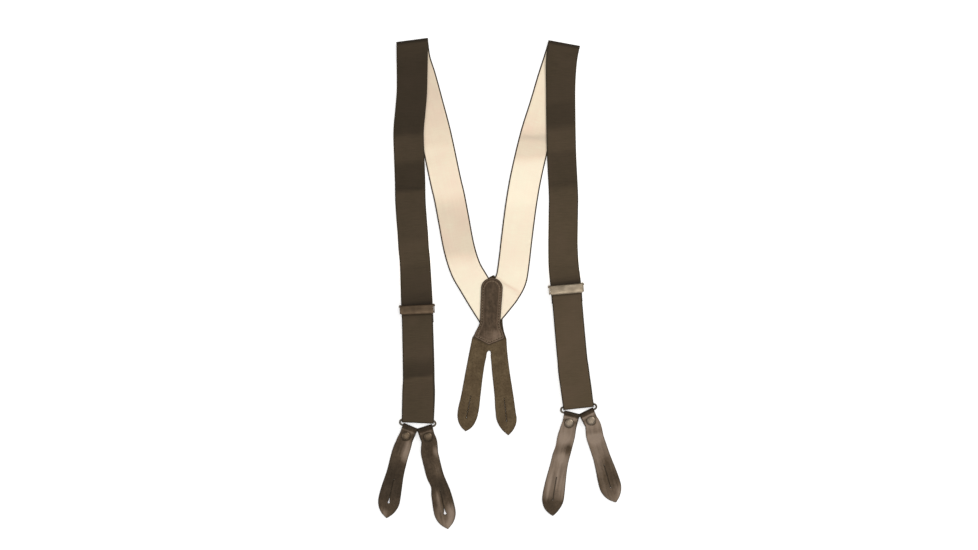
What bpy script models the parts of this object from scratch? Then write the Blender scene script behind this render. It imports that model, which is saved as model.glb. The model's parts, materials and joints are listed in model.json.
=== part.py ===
"""Button-on trouser braces, laid flat and folded over at the shoulders.

Two elastic webbing straps start under a forked leather back patch, fold over at the
shoulders and run down the front. Each passes through a lever adjuster, turns round the
top bar of a wire ring and goes back up behind itself to the adjuster. Two riveted
leather tabs with buttonholes hang from the V of each ring.

The braces lie on the plane Z = 0. X runs across them and +Y points to the shoulders.
Lengths in the tables below are millimetres, and mm() turns them into metres.
"""

import math

import bmesh
import bpy
from mathutils import Matrix, Vector

# ------------------------------------------------------------------ driving dimensions
WEB_WIDTH = 38.0
WEB_THICK = 1.3
GAP = 0.3  # free space between neighbouring solids
STATION = 8.0  # spacing of the cross-sections along a strap
CLEAR_OF_TABLE = 0.04

FOLD_RADIUS = 1.5  # middle of the webbing round the shoulder fold
WEB_LOW = WEB_THICK / 2  # height of the webbing's middle where it lies on the table
FOLD_HEIGHT = WEB_LOW + FOLD_RADIUS

WIRE_RADIUS = 1.15
RING_HALF_BAR = 18.3
RING_CORNER = 3.1
RING_SLOPE = math.radians(20)
RING_HEIGHT = 3.1  # height of the ring's wire above the table
LOOP_RADIUS = WIRE_RADIUS + 0.35 + WEB_THICK / 2
LOOP_SLACK = 0.6  # the strap turns this far below the ring's bar

ADJUSTER_INSIDE = 39.8  # between the side plates
PLATE_THICK = 1.0
BAR_THICK = 1.2
BAR_HEIGHT = 2.2  # middle of the frame's lower bar
HEM_RADIUS = BAR_THICK / 2 + GAP + WEB_THICK / 2
HEM_Y = -3.6  # centre of the hem's turn, from the middle of the adjuster
WEB_HIGH = BAR_HEIGHT + HEM_RADIUS + WEB_THICK + GAP  # webbing's middle through the adjuster
PIN_RADIUS = 0.65
PIN_HOLE = 0.8
PIN_Y = 3.5
LEVER_BARREL = 1.5
PIN_HEIGHT = WEB_HIGH + WEB_THICK / 2 + GAP + LEVER_BARREL

TAB_THICK = 1.6
TAB_ROLL = WIRE_RADIUS + GAP + TAB_THICK / 2
TAB_ALONG_WIRE = 9.6  # middle of a tab along the ring's sloping side, from the ring's centre
TAB_FLAP = 15.5  # length of the flap behind
FLAP_HEIGHT = 1.75
FRONT_HEIGHT = 4.05
RIVET_DOWN = 10.5  # rivet below the wire
RIVET_CAP = 5.2
RIVET_POST = 1.5
RIVET_HOLE = 1.8
BUTTONHOLE = 28.0
BUTTONHOLE_WIDTH = 1.0
KEYHOLE_RADIUS = 1.6
TIP_TO_KEYHOLE = 19.0

FORK_THICK = 1.8
LINING_THICK = 1.3
PATCH_WEB = FORK_THICK + GAP + WEB_THICK / 2  # webbing's middle inside the back patch
LINING_HIGH = PATCH_WEB + WEB_THICK / 2 + GAP + LINING_THICK / 2
LINING_LOW = FORK_THICK + GAP + LINING_THICK / 2
THREAD_RADIUS = 0.4

# ------------------------------------------------------------------ places of the parts
# Each strap run is a list of points (x, y, z of the middle of the webbing).
SIDES = {
    "left": {
        "fold": (-104.0, 290.0),
        "fold_tilt": math.radians(7.5),
        "back": [
            (-100.8, 268, 0.65), (-94.2, 247, 0.65), (-85.6, 215.5, 0.65), (-75.7, 177.5, 0.65),
            (-64.3, 124, 0.7), (-59.8, 105, 1.6), (-54.8, 79, 2.6), (-48, 43, 1.8),
            (-40.2, 18, 2.0), (-30.7, 1, PATCH_WEB), (-19.3, -18, PATCH_WEB), (-8, -36, PATCH_WEB),
            (5, -57, PATCH_WEB),
        ],
        "front": [
            (-104.1, 268, 3.2), (-104.4, 232, 2.5), (-106.2, 208, 2.5), (-108.4, 182, 2.5),
            (-107.7, 153, 2.4), (-106.7, 124, 1.0), (-106.3, 100, 0.65), (-105, 80, 1.6),
            (-103.3, 60, 4.9), (-102.2, 42, WEB_HIGH), (-100.4, 22, WEB_HIGH),
        ],
        "front_width": 36.6,
        "adjuster": (-98.1, -30.4),
        "run": [(-96.8, -100, WEB_HIGH), (-96.8, -132, WEB_HIGH)],
        "loop_width": 38.6,
        "return_aside": 1.9,
        "ring": (-97.3, -163.9),
        "ring_turn": math.radians(-2.5),
        "outer_tab": [
            (-114.4, -192, 3.7), (-117.8, -202, 2.4), (-120.6, -212, 1.3), (-125.3, -231, 0.8),
            (-129.8, -250, 0.8), (-133.0, -267, 0.8), (-134.9, -281.3, 0.8),
        ],
        "inner_tab": [
            (-84.8, -191.5, 3.8), (-83.8, -202, 2.6), (-81.8, -212, 1.4), (-76.6, -231, 0.8),
            (-70.2, -250, 0.8), (-66.0, -269, 0.8), (-61.3, -294.3, 0.8),
        ],
    },
    "right": {
        "fold": (77.8, 286.3),
        "fold_tilt": math.radians(-10.4),
        "back": [
            (70.8, 264, 0.65), (64.2, 243.5, 0.65), (55.6, 214.5, 0.65), (43.6, 176, 0.65),
            (33.1, 132, 0.7), (27.6, 102, 1.6), (23.7, 74, 2.6), (20.3, 46, 1.8),
            (18, 26, 1.9), (14.6, 5.5, 2.6), (7.3, -8.5, PATCH_WEB), (0.1, -18, PATCH_WEB),
            (-10.6, -31, PATCH_WEB), (-25, -47, PATCH_WEB),
        ],
        "front": [
            (75.0, 268, 3.2), (73.9, 239, 2.5), (74.2, 191, 2.5), (75, 155, 2.4), (76.4, 126, 1.0),
            (77.4, 104, 0.65), (77.2, 86, 1.0), (76.8, 66, 4.7), (76.6, 46, WEB_HIGH),
            (77.4, 22, WEB_HIGH),
        ],
        "front_width": 35.2,
        "adjuster": (80.4, -6.0),
        "run": [(86.7, -80, WEB_HIGH), (89.7, -108, WEB_HIGH), (92.2, -126, WEB_HIGH)],
        "loop_width": 37.0,
        "return_aside": 0.4,
        "ring": (95.1, -146.5),
        "ring_turn": math.radians(6.2),
        "inner_tab": [
            (81.4, -180, 3.7), (78.2, -192.5, 2.4), (75.8, -202, 1.4), (73.2, -212, 0.9),
            (69.2, -231, 0.8), (65.9, -250, 0.8), (64.0, -265, 0.8), (64.4, -278.6, 0.8),
        ],
        "outer_tab": [
            (112, -174, 3.8), (114.8, -183, 2.8), (118, -193, 1.7), (121.4, -203, 1.0),
            (127.4, -222, 0.8), (133.8, -244, 0.8), (140.2, -262.4, 0.8),
        ],
    },
}
SLIDE_DIRECTION = {"left": (-7.2, 160.0), "right": (-8.5, 100.0)}

# The back patch: its middle line runs from the crotch of the fork to the top of the tongue.
PATCH_CROTCH = Vector((-12.6, -80.0, 0))
PATCH_AXIS = Vector((4.8, 87.0, 0)).normalized()
PATCH_ACROSS = Vector((PATCH_AXIS.y, -PATCH_AXIS.x, 0))
# The fork's outline, from the tip of the tongue down its left side and round both legs.
# A point with True is a corner.
FORK_OUTLINE = [
    (-6.8, 10.2, True), (-12.6, 6.9, False), (-18.9, 1.2, False), (-21.6, -7, False),
    (-22.2, -25, False), (-22.9, -44, False), (-25.8, -54.5, False), (-32.1, -64.8, True),
    (-34.6, -77, False), (-40.2, -106, False), (-45.6, -135, False), (-49.6, -154, False),
    (-49.4, -163, False), (-45.8, -171.6, False), (-40.1, -177.4, True), (-32.8, -172.6, False),
    (-27.4, -164, False), (-24.6, -154, False), (-22.2, -135, False), (-18.6, -106, False),
    (-15.4, -89, False), (-12.8, -81, False), (-11, -81, False), (-10, -88, False),
    (-8.4, -106, False), (-5.4, -135, False), (-4.2, -154, False), (-2.4, -165, False),
    (3, -174.6, False), (11.3, -182.3, True), (17.8, -174.6, False), (21.2, -164, False),
    (20, -154, False), (17.4, -135, False), (12.9, -106, False), (9.8, -80, False),
    (9, -66.4, True), (5.6, -55.5, False), (4.3, -44, False), (4.8, -25, False),
    (5, -7, False), (2.2, 1.6, False), (-3.2, 7.0, False),
]
FORK_LEGS = [((-39.2, -161.5), (-33.6, -134.0)), ((9.2, -165.5), (6.2, -137.0))]

MATERIALS = {
    # name: (colour, roughness, metallic)
    "webbing": ((0.075, 0.058, 0.040, 1), 0.9, 0.0),
    "tab_leather": ((0.060, 0.042, 0.030, 1), 0.5, 0.0),
    "patch_leather": ((0.085, 0.062, 0.040, 1), 0.75, 0.0),
    "adjuster_metal": ((0.42, 0.36, 0.29, 1), 0.35, 1.0),
    "ring_metal": ((0.18, 0.15, 0.12, 1), 0.4, 1.0),
    "rivet_metal": ((0.33, 0.27, 0.20, 1), 0.35, 1.0),
    "thread": ((0.10, 0.075, 0.05, 1), 0.8, 0.0),
}


# ------------------------------------------------------------------ small helpers
def mm(vector):
    return Vector(vector) * 0.001


def flat(pair, height=0.0):
    return Vector((pair[0], pair[1], height))


def smooth(t):
    t = min(1.0, max(0.0, t))
    return t * t * (3 - 2 * t)


def material(name):
    found = bpy.data.materials.get(name)
    if found:
        return found
    colour, roughness, metallic = MATERIALS[name]
    made = bpy.data.materials.new(name)
    made.use_nodes = True
    shader = made.node_tree.nodes["Principled BSDF"]
    shader.inputs["Base Color"].default_value = colour
    shader.inputs["Roughness"].default_value = roughness
    shader.inputs["Metallic"].default_value = metallic
    return made


def add_object(name, data, material_name=None, collection="braces"):
    obj = bpy.data.objects.new(name, data)
    group = bpy.data.collections.get(collection)
    group.objects.link(obj)
    if material_name:
        data.materials.append(material(material_name))
    return obj


def curve_through(points, spacing):
    """Points about spacing apart on a smooth curve through the given ones."""
    points = [Vector(p) for p in points]
    ends = [2 * points[0] - points[1]] + points + [2 * points[-1] - points[-2]]
    dense = []
    for before, a, b, after in zip(ends, ends[1:], ends[2:], ends[3:]):
        for step in range(16):
            t = step / 16
            dense.append(
                0.5
                * (
                    2 * a
                    + (b - before) * t
                    + (2 * before - 5 * a + 4 * b - after) * t * t
                    + (3 * a - before - 3 * b + after) * t**3
                )
            )
    dense.append(points[-1])
    length = sum((b - a).length for a, b in zip(dense, dense[1:]))
    count = max(2, round(length / spacing))
    found, run, wanted = [dense[0]], 0.0, length / count
    for a, b in zip(dense, dense[1:]):
        step = (b - a).length
        while run + step >= wanted * len(found) - 1e-9 and len(found) < count:
            found.append(a.lerp(b, (wanted * len(found) - run) / step))
        run += step
    return found + [dense[-1]]


def turn_points(centre, towards, radius, start, end, steps):
    """Points on an arc in the upright plane that holds the direction towards."""
    found = []
    for i in range(steps + 1):
        angle = start + (end - start) * i / steps
        found.append(centre + radius * (towards * math.cos(angle) + Vector((0, 0, math.sin(angle)))))
    return found


def across(points, i):
    """The level direction square to the path at a point, always towards +X."""
    a, b = points[max(0, i - 1)], points[min(len(points) - 1, i + 1)]
    tangent = Vector((b.x - a.x, b.y - a.y, 0)).normalized()
    side = Vector((-tangent.y, tangent.x, 0))
    return side if side.x > 0 else -side


def rungs_of(points, half_width, crease=None, crease_reach=30.0):
    """Half rungs square to a run. Near its first point they lean over to a crease direction."""
    found, run = [], 0.0
    for i, point in enumerate(points):
        if i:
            run += (point - points[i - 1]).length
        side = across(points, i)
        rung = side
        if crease is not None:
            leaning = crease.lerp(side, smooth(run / crease_reach)).normalized()
            rung = leaning / leaning.dot(side)
        width = half_width(run) if callable(half_width) else half_width
        found.append(rung * width)
    return found


def ribbon(name, stations, thickness, material_name, trims=()):
    """A strip of even thickness: an edge line is extruded across, then given its thickness."""
    lowest = thickness / 2 + CLEAR_OF_TABLE
    stations = [(Vector((c.x, c.y, max(c.z, lowest))), rung) for c, rung in stations]
    mesh = bmesh.new()
    left = [mesh.verts.new(mm(centre - rung)) for centre, rung in stations]
    edges = [mesh.edges.new(pair) for pair in zip(left, left[1:])]
    made = bmesh.ops.extrude_edge_only(mesh, edges=edges)["geom"]
    right = [v for v in made if isinstance(v, bmesh.types.BMVert)]
    partner = {}
    for v in right:
        for edge in v.link_edges:
            other = edge.other_vert(v)
            if other in left:
                partner[left.index(other)] = v
    for i, (centre, rung) in enumerate(stations):
        partner[i].co = mm(centre + rung)
    for point, normal in trims:
        bmesh.ops.bisect_plane(
            mesh, geom=mesh.verts[:] + mesh.edges[:] + mesh.faces[:],
            plane_co=mm(point), plane_no=normal, clear_outer=True,
        )
    data = bpy.data.meshes.new(name)
    mesh.to_mesh(data)
    mesh.free()
    obj = add_object(name, data, material_name)
    solidify = obj.modifiers.new("thickness", "SOLIDIFY")
    solidify.thickness = thickness * 0.001
    solidify.offset = 0
    solidify.use_even_offset = True
    return obj


def cutter(name, mesh_maker):
    mesh = bmesh.new()
    mesh_maker(mesh)
    data = bpy.data.meshes.new(name)
    mesh.to_mesh(data)
    mesh.free()
    obj = add_object(name, data, collection="cutters")
    obj.hide_render = True
    obj.display_type = "WIRE"
    return obj


def cut(obj, tool):
    boolean = obj.modifiers.new("cut_" + tool.name, "BOOLEAN")
    boolean.operation = "DIFFERENCE"
    boolean.solver = "EXACT"
    boolean.object = tool


def cut_hole(obj, place, radius, low, high):
    def make(mesh):
        bmesh.ops.create_cone(
            mesh, cap_ends=True, segments=20, radius1=radius * 0.001, radius2=radius * 0.001,
            depth=(high - low) * 0.001,
            matrix=Matrix.Translation(mm((place.x, place.y, (low + high) / 2))),
        )

    cut(obj, cutter(obj.name + "_hole", make))


def cut_buttonhole(obj, keyhole, top, low, high):
    """A slit with a round end: a box up the leather from a cylinder at the keyhole."""
    keyhole, top = flat(keyhole), flat(top)
    along = (top - keyhole).normalized()
    turn = Matrix.Rotation(math.atan2(-along.x, along.y), 4, "Z")
    middle = keyhole + along * BUTTONHOLE / 2
    height = (low + high) / 2

    def make_slit(mesh):
        size = Matrix.Diagonal(mm((BUTTONHOLE_WIDTH, BUTTONHOLE, high - low))).to_4x4()
        place = Matrix.Translation(mm((middle.x, middle.y, height)))
        bmesh.ops.create_cube(mesh, size=1.0, matrix=place @ turn @ size)

    cut(obj, cutter(obj.name + "_slit", make_slit))
    cut_hole(obj, keyhole, KEYHOLE_RADIUS, low, high)


def mesh_from_curve(curve_obj, name, material_name):
    """Replaces a curve by the mesh it makes, with its caps welded, so that it can be cut."""
    bpy.context.view_layer.update()
    graph = bpy.context.evaluated_depsgraph_get()
    data = bpy.data.meshes.new_from_object(curve_obj.evaluated_get(graph))
    mesh = bmesh.new()
    mesh.from_mesh(data)
    bmesh.ops.remove_doubles(mesh, verts=mesh.verts, dist=1e-6)
    mesh.to_mesh(data)
    mesh.free()
    data.materials.clear()
    obj = add_object(name, data, material_name)
    obj.matrix_world = curve_obj.matrix_world
    bpy.data.objects.remove(curve_obj)
    return obj


def turned(name, profile, material_name, steps, location):
    """A profile of (radius, height), top to bottom on its outer side, turned about Z."""
    data = bpy.data.meshes.new(name)
    points = [(radius * 0.001, 0, height * 0.001) for radius, height in profile]
    data.from_pydata(points, [(i, i + 1) for i in range(len(points) - 1)], [])
    obj = add_object(name, data, material_name)
    screw = obj.modifiers.new("turn", "SCREW")
    screw.steps = screw.render_steps = steps
    screw.use_merge_vertices = True
    screw.merge_threshold = 0.00001
    screw.use_smooth_shade = True
    obj.location = mm(location)
    return obj


def wire(name, points, radius, material_name, resolution=2):
    """A closed loop of round wire through the given points."""
    data = bpy.data.curves.new(name, "CURVE")
    data.dimensions = "3D"
    spline = data.splines.new("POLY")
    spline.points.add(len(points) - 1)
    for target, point in zip(spline.points, points):
        target.co = (*mm(point), 1)
    spline.use_cyclic_u = True
    data.bevel_depth = radius * 0.001
    data.bevel_resolution = resolution
    data.use_fill_caps = True
    return add_object(name, data, material_name)


# ------------------------------------------------------------------ frames of the moving parts
def crease_of(side):
    tilt = SIDES[side]["fold_tilt"]
    return Vector((math.cos(tilt), math.sin(tilt), 0))


def ring_frame(side):
    """Centre of the ring's top bar, the direction along it, and the direction to the strap."""
    turn = SIDES[side]["ring_turn"]
    along = Vector((math.cos(turn), math.sin(turn), 0))
    return flat(SIDES[side]["ring"], RING_HEIGHT), along, Vector((-along.y, along.x, 0))


def adjuster_frame_of(side):
    up = flat(SLIDE_DIRECTION[side]).normalized()
    return flat(SIDES[side]["adjuster"]), Vector((up.y, -up.x, 0)), up


def tab_frame(side, on_right):
    """Centre of a tab on the wire, the direction along the wire, and the direction to the strap."""
    centre, along, up = ring_frame(side)
    sign = 1 if on_right else -1
    side_end_x = RING_HALF_BAR + RING_CORNER * math.sin(RING_SLOPE)
    side_end_y = -RING_CORNER * (1 + math.cos(RING_SLOPE))
    drop = side_end_y - (side_end_x - TAB_ALONG_WIRE) * math.tan(RING_SLOPE)
    place = centre + along * sign * TAB_ALONG_WIRE + up * drop
    wire_direction = along * math.cos(RING_SLOPE) + up * math.sin(RING_SLOPE) * sign
    return place, wire_direction, Vector((-wire_direction.y, wire_direction.x, 0))


# ------------------------------------------------------------------ the straps
def build_strap(side):
    places = SIDES[side]
    crease = crease_of(side)
    fold_axis = flat(places["fold"], FOLD_HEIGHT)
    half = WEB_WIDTH / 2
    half_loop = places["loop_width"] / 2
    half_adjuster = min(half, half_loop)
    half_fold = crease * half / math.cos(places["fold_tilt"])
    to_top = Vector((-crease.y, crease.x, 0))
    start_gap = to_top * GAP / 2

    # Back run, from the fold down to the patch, where its end is cut along the patch's middle.
    start = fold_axis - Vector((0, 0, FOLD_RADIUS)) - start_gap
    back = curve_through([start] + places["back"], STATION)
    outward = PATCH_ACROSS if side == "right" else -PATCH_ACROSS
    trims = [
        (PATCH_CROTCH + PATCH_AXIS * 31, -PATCH_AXIS),
        (PATCH_CROTCH + outward * GAP / 2, -outward),
    ]
    stations = list(zip(back, rungs_of(back, half, crease)))
    ribbon(side + "_strap_back", stations, WEB_THICK, "webbing", trims)

    # The shoulder fold itself, half a turn round the crease.
    fold = turn_points(fold_axis, to_top, FOLD_RADIUS, -math.pi / 2, math.pi / 2, 10)
    ribbon(side + "_strap_fold", [(p, half_fold) for p in fold], WEB_THICK, "webbing")

    # Front run, from the fold down into the adjuster.
    middle, adjuster_along, up = adjuster_frame_of(side)
    start = fold_axis + Vector((0, 0, FOLD_RADIUS)) - start_gap
    into = middle + up * 1.0 + Vector((0, 0, WEB_HIGH))
    front = curve_through([start] + places["front"] + [into], STATION)
    length = sum((b - a).length for a, b in zip(front, front[1:]))

    def half_front(run):
        narrow = smooth(run / 60) * smooth((length - run) / 60)
        end = half if run < length / 2 else half_adjuster
        return end + (places["front_width"] / 2 - end) * narrow

    front_rungs = rungs_of(front, half_front, crease)
    front_rungs[-1] = adjuster_along * half_adjuster
    ribbon(side + "_strap_front", list(zip(front, front_rungs)), WEB_THICK, "webbing")

    # Doubled run: down to the ring, round its bar, back up behind, and a hem round the frame's bar.
    ring_centre, ring_along, ring_up = ring_frame(side)
    turn_centre = ring_centre - ring_up * LOOP_SLACK
    over_bar = turn_centre + Vector((0, 0, LOOP_RADIUS))
    under_bar = turn_centre - Vector((0, 0, LOOP_RADIUS))
    out = middle + up * (1.0 - GAP) + Vector((0, 0, WEB_HIGH))
    down = curve_through([out] + places["run"] + [over_bar], STATION)
    bottom_turn = turn_points(turn_centre, -ring_up, LOOP_RADIUS, math.pi / 2, -math.pi / 2, 8)
    hem_centre = middle + up * HEM_Y + Vector((0, 0, BAR_HEIGHT))
    hem_turn = turn_points(hem_centre, up, HEM_RADIUS, -math.pi / 2, math.pi / 2, 8)
    aside = places["return_aside"]
    below = [Vector((p[0] + aside, p[1], WEB_LOW)) for p in reversed(places["run"])]
    climb = curve_through([under_bar] + below + [hem_turn[0]], STATION)
    on_return = WEB_LOW + WEB_THICK + GAP
    hem = curve_through(
        [hem_turn[-1], hem_turn[-1] - up * 4, middle - up * 11 + Vector((0, 0, on_return)),
         middle - up * 17 + Vector((0, 0, on_return))], STATION / 2)
    down_half = sum((b - a).length for a, b in zip(down, down[1:]))

    def half_down(run):
        return half_adjuster + (half_loop - half_adjuster) * smooth(run / 30)

    def half_climb(run):
        return half_down(down_half - run)

    stations = [(down[0], adjuster_along * half_adjuster)]
    stations += list(zip(down, rungs_of(down, half_down)))[1:-1]
    stations += [(p, ring_along * half_loop) for p in bottom_turn]
    stations += list(zip(climb, rungs_of(climb, half_climb)))[1:-1]
    stations += [(p, adjuster_along * half_adjuster) for p in hem_turn]
    stations += list(zip(hem, rungs_of(hem, half_adjuster)))[1:]
    ribbon(side + "_strap_loop", stations, WEB_THICK, "webbing")


# ------------------------------------------------------------------ the adjuster
def build_adjuster(side):
    middle, along, _ = adjuster_frame_of(side)
    place = Matrix.Translation(mm(middle)) @ Matrix.Rotation(math.atan2(along.y, along.x), 4, "Z")
    half_inside = ADJUSTER_INSIDE / 2
    bar_low, bar_top = BAR_HEIGHT - BAR_THICK / 2, BAR_HEIGHT + BAR_THICK / 2
    clamp_top = WEB_HIGH - WEB_THICK / 2 - GAP

    def box(name, low, high):
        mesh = bmesh.new()
        size = Matrix.Diagonal(mm(Vector(high) - Vector(low))).to_4x4()
        centre = Matrix.Translation(mm((Vector(low) + Vector(high)) / 2))
        bmesh.ops.create_cube(mesh, size=1.0, matrix=centre @ size)
        data = bpy.data.meshes.new(name)
        mesh.to_mesh(data)
        mesh.free()
        return data

    # Frame: two side plates that carry the pin, a clamping bar and the bar that holds the hem.
    overlap = 0.4
    plates = []
    for sign in (-1, 1):
        inner, outer = sign * half_inside, sign * (half_inside + PLATE_THICK)
        low, high = min(inner, outer), max(inner, outer)
        plates.append(((low, -5.6, bar_low), (high, 5.6, PIN_HEIGHT + 1.3)))
    bars = [
        ((-half_inside - overlap, -5.4, bar_low), (half_inside + overlap, HEM_Y + GAP, bar_top)),
        ((-half_inside - overlap, 2.2, bar_low), (half_inside + overlap, 5.2, clamp_top)),
    ]
    frame = add_object(side + "_adjuster_frame", box("plate", *plates[0]), "adjuster_metal")
    for i, extent in enumerate([plates[1]] + bars):
        other = add_object(f"{side}_frame_piece_{i}", box("piece", *extent), collection="cutters")
        other.hide_render = True
        other.display_type = "WIRE"
        other.matrix_world = place
        join = frame.modifiers.new(f"join_{i}", "BOOLEAN")
        join.operation = "UNION"
        join.solver = "EXACT"
        join.object = other
    frame.matrix_world = place

    def make_pin_hole(mesh):
        turn = Matrix.Rotation(math.pi / 2, 4, "Y")
        spot = Matrix.Translation(mm((0, PIN_Y, PIN_HEIGHT)))
        bmesh.ops.create_cone(
            mesh, cap_ends=True, segments=20, radius1=PIN_HOLE * 0.001, radius2=PIN_HOLE * 0.001,
            depth=0.060, matrix=spot @ turn)

    hole = cutter(side + "_pin_hole", make_pin_hole)
    hole.matrix_world = place
    cut(frame, hole)

    # Pin: a turned shaft with a low domed head outside each side plate.
    head_in = half_inside + PLATE_THICK + GAP / 2
    profile = [
        (0, head_in + 0.9), (0.75, head_in + 0.75), (1.2, head_in + 0.35), (1.2, head_in),
        (PIN_RADIUS, head_in), (PIN_RADIUS, -head_in), (1.2, -head_in), (1.2, -head_in - 0.35),
        (0.75, -head_in - 0.75), (0, -head_in - 0.9),
    ]
    pin = turned(side + "_adjuster_pin", profile, "adjuster_metal", 16, (0, 0, 0))
    spot = Matrix.Translation(mm((0, PIN_Y, PIN_HEIGHT)))
    pin.matrix_world = place @ spot @ Matrix.Rotation(math.pi / 2, 4, "Y")

    # Lever: a plate rolled round the pin at its top edge, drawn as its end view.
    top = LEVER_BARREL
    outline = [(-10.1, 0.1), (-9.8, 0.75), (-8.6, 1.05), (-6.0, 1.35), (-3.0, 1.5), (0, top)]
    for i in range(1, 13):
        angle = math.pi / 2 - i * math.radians(250) / 12
        outline.append((top * math.cos(angle), top * math.sin(angle)))
    outline += [(-2.4, 0.65), (-6.0, 0.5), (-8.6, 0.2), (-9.8, -0.1)]
    hole_points = [
        (PIN_HOLE * math.cos(i * math.pi / 8), PIN_HOLE * math.sin(i * math.pi / 8)) for i in range(16)
    ]
    data = bpy.data.curves.new(side + "_lever_outline", "CURVE")
    data.dimensions = "2D"
    data.fill_mode = "BOTH"
    data.extrude = (half_inside - GAP) * 0.001
    for points in (outline, hole_points):
        spline = data.splines.new("POLY")
        spline.points.add(len(points) - 1)
        for target, (y, z) in zip(spline.points, points):
            target.co = (y * 0.001, z * 0.001, 0, 1)
        spline.use_cyclic_u = True
    curve_obj = add_object(side + "_lever_outline", data, collection="cutters")
    stand = Matrix(((0, 0, 1, 0), (1, 0, 0, 0), (0, 1, 0, 0), (0, 0, 0, 1)))
    curve_obj.matrix_world = place @ spot @ stand
    mesh_from_curve(curve_obj, side + "_adjuster_lever", "adjuster_metal")


# ------------------------------------------------------------------ the wire ring
def build_ring(side):
    centre, along, up = ring_frame(side)
    outline = []
    for step in range(9):
        angle = math.pi / 2 - step * (math.pi - RING_SLOPE) / 8
        outline.append((
            RING_HALF_BAR + RING_CORNER * math.cos(angle),
            -RING_CORNER + RING_CORNER * math.sin(angle),
        ))
    end_x, end_y = outline[-1]
    apex_half = 0.9
    outline.append((apex_half, end_y - (end_x - apex_half) * math.tan(RING_SLOPE)))
    outline += [(-x, y) for x, y in reversed(outline)]
    points = [centre + along * x + up * y for x, y in outline]
    wire(side + "_ring", points, WIRE_RADIUS, "ring_metal")


# ------------------------------------------------------------------ leather tabs and rivets
def tab_half_width(length):
    """Half width along a tab: narrow on the wire, a straight shank, a paddle and a pointed tip."""
    paddle, tip = 13.1, 22.0
    arc = (paddle**2 + tip**2) / (2 * paddle)

    def half(run):
        to_tip = length - run
        if to_tip < tip:
            return max(0.5, math.sqrt(arc**2 - (tip - to_tip) ** 2) - (arc - paddle))
        shank = 8.1 + 2.3 * smooth(run / 9)
        return shank + (paddle - shank) * smooth((run - length * 0.45) / (length * 0.55 - tip))

    return half


def build_tab(side, which):
    on_right = (which == "outer") == (side == "right")
    place, along_wire, up = tab_frame(side, on_right)
    name = f"{side}_{which}_tab"
    lift = Vector((0, 0, 1))
    behind = [
        place - up * TAB_FLAP + lift * (FLAP_HEIGHT - RING_HEIGHT),
        place - up * RIVET_DOWN + lift * (FLAP_HEIGHT - RING_HEIGHT),
        place - up * 5.2 + lift * (FLAP_HEIGHT - RING_HEIGHT),
        place - lift * TAB_ROLL,
    ]
    over_wire = place + lift * TAB_ROLL
    front = [
        over_wire,
        place - up * 4.6 + lift * (FRONT_HEIGHT - RING_HEIGHT),
        place - up * RIVET_DOWN + lift * (FRONT_HEIGHT - RING_HEIGHT),
        place - up * 16.2 + lift * (FRONT_HEIGHT - RING_HEIGHT - 0.1),
    ] + SIDES[side][which + "_tab"]
    back_points = curve_through(behind, 3.0)
    turn = turn_points(place, up, TAB_ROLL, -math.pi / 2, math.pi / 2, 8)
    front_points = curve_through(front, 3.6)
    length = sum((b - a).length for a, b in zip(front_points, front_points[1:]))
    half_width = tab_half_width(length)
    flap_run = sum((b - a).length for a, b in zip(back_points, back_points[1:]))

    def flap_half(run):
        from_wire = flap_run - run
        corner = 1 - smooth((from_wire - flap_run + 3) / 3) * 0.35
        return (8.1 + 1.8 * smooth(from_wire / 9)) * corner

    stations = [(p, along_wire * flap_half(i * flap_run / (len(back_points) - 1)))
                for i, p in enumerate(back_points)]
    stations += [(p, along_wire * 8.1) for p in turn[1:-1]]
    front_rungs = rungs_of(front_points, half_width, along_wire, 14.0)
    stations += list(zip(front_points, front_rungs))
    tab = ribbon(name, stations, TAB_THICK, "tab_leather")

    rivet = place - up * RIVET_DOWN
    cut_hole(tab, rivet, RIVET_HOLE, 0.2, 7.0)
    run, keyhole, top = 0.0, None, None
    for a, b in reversed(list(zip(front_points, front_points[1:]))):
        step = (b - a).length
        if keyhole is None and run + step >= TIP_TO_KEYHOLE:
            keyhole = b.lerp(a, (TIP_TO_KEYHOLE - run) / step)
        if top is None and run + step >= TIP_TO_KEYHOLE + BUTTONHOLE:
            top = b.lerp(a, (TIP_TO_KEYHOLE + BUTTONHOLE - run) / step)
        run += step
    cut_buttonhole(tab, keyhole, top, -2.0, 6.0)
    build_rivet(f"{side}_{which}_rivet", rivet)


def build_rivet(name, place):
    """A cap with a hollow post, closed by a base with a stud inside the post."""
    top = FRONT_HEIGHT + TAB_THICK / 2 + 0.25
    cap = [(0, top + 1.9)]
    for i in range(1, 7):
        angle = math.radians(90 - 13 * i)
        cap.append((RIVET_CAP * math.cos(angle) / math.cos(math.radians(12)),
                    top + 0.35 + 1.55 * math.sin(angle)))
    cap += [(RIVET_CAP, top + 0.3), (RIVET_CAP - 0.3, top), (RIVET_POST, top), (RIVET_POST, 1.1),
            (1.05, 1.1), (1.05, 3.4), (0, 3.4)]
    turned(name + "_cap", cap, "rivet_metal", 24, flat(place))
    base = [
        (0, 3.0), (0.7, 2.9), (0.7, 0.6), (4.2, 0.6), (4.5, 0.45), (4.5, 0.15), (4.2, 0.02), (0, 0.02),
    ]
    turned(name + "_base", base, "rivet_metal", 24, flat(place))


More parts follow.
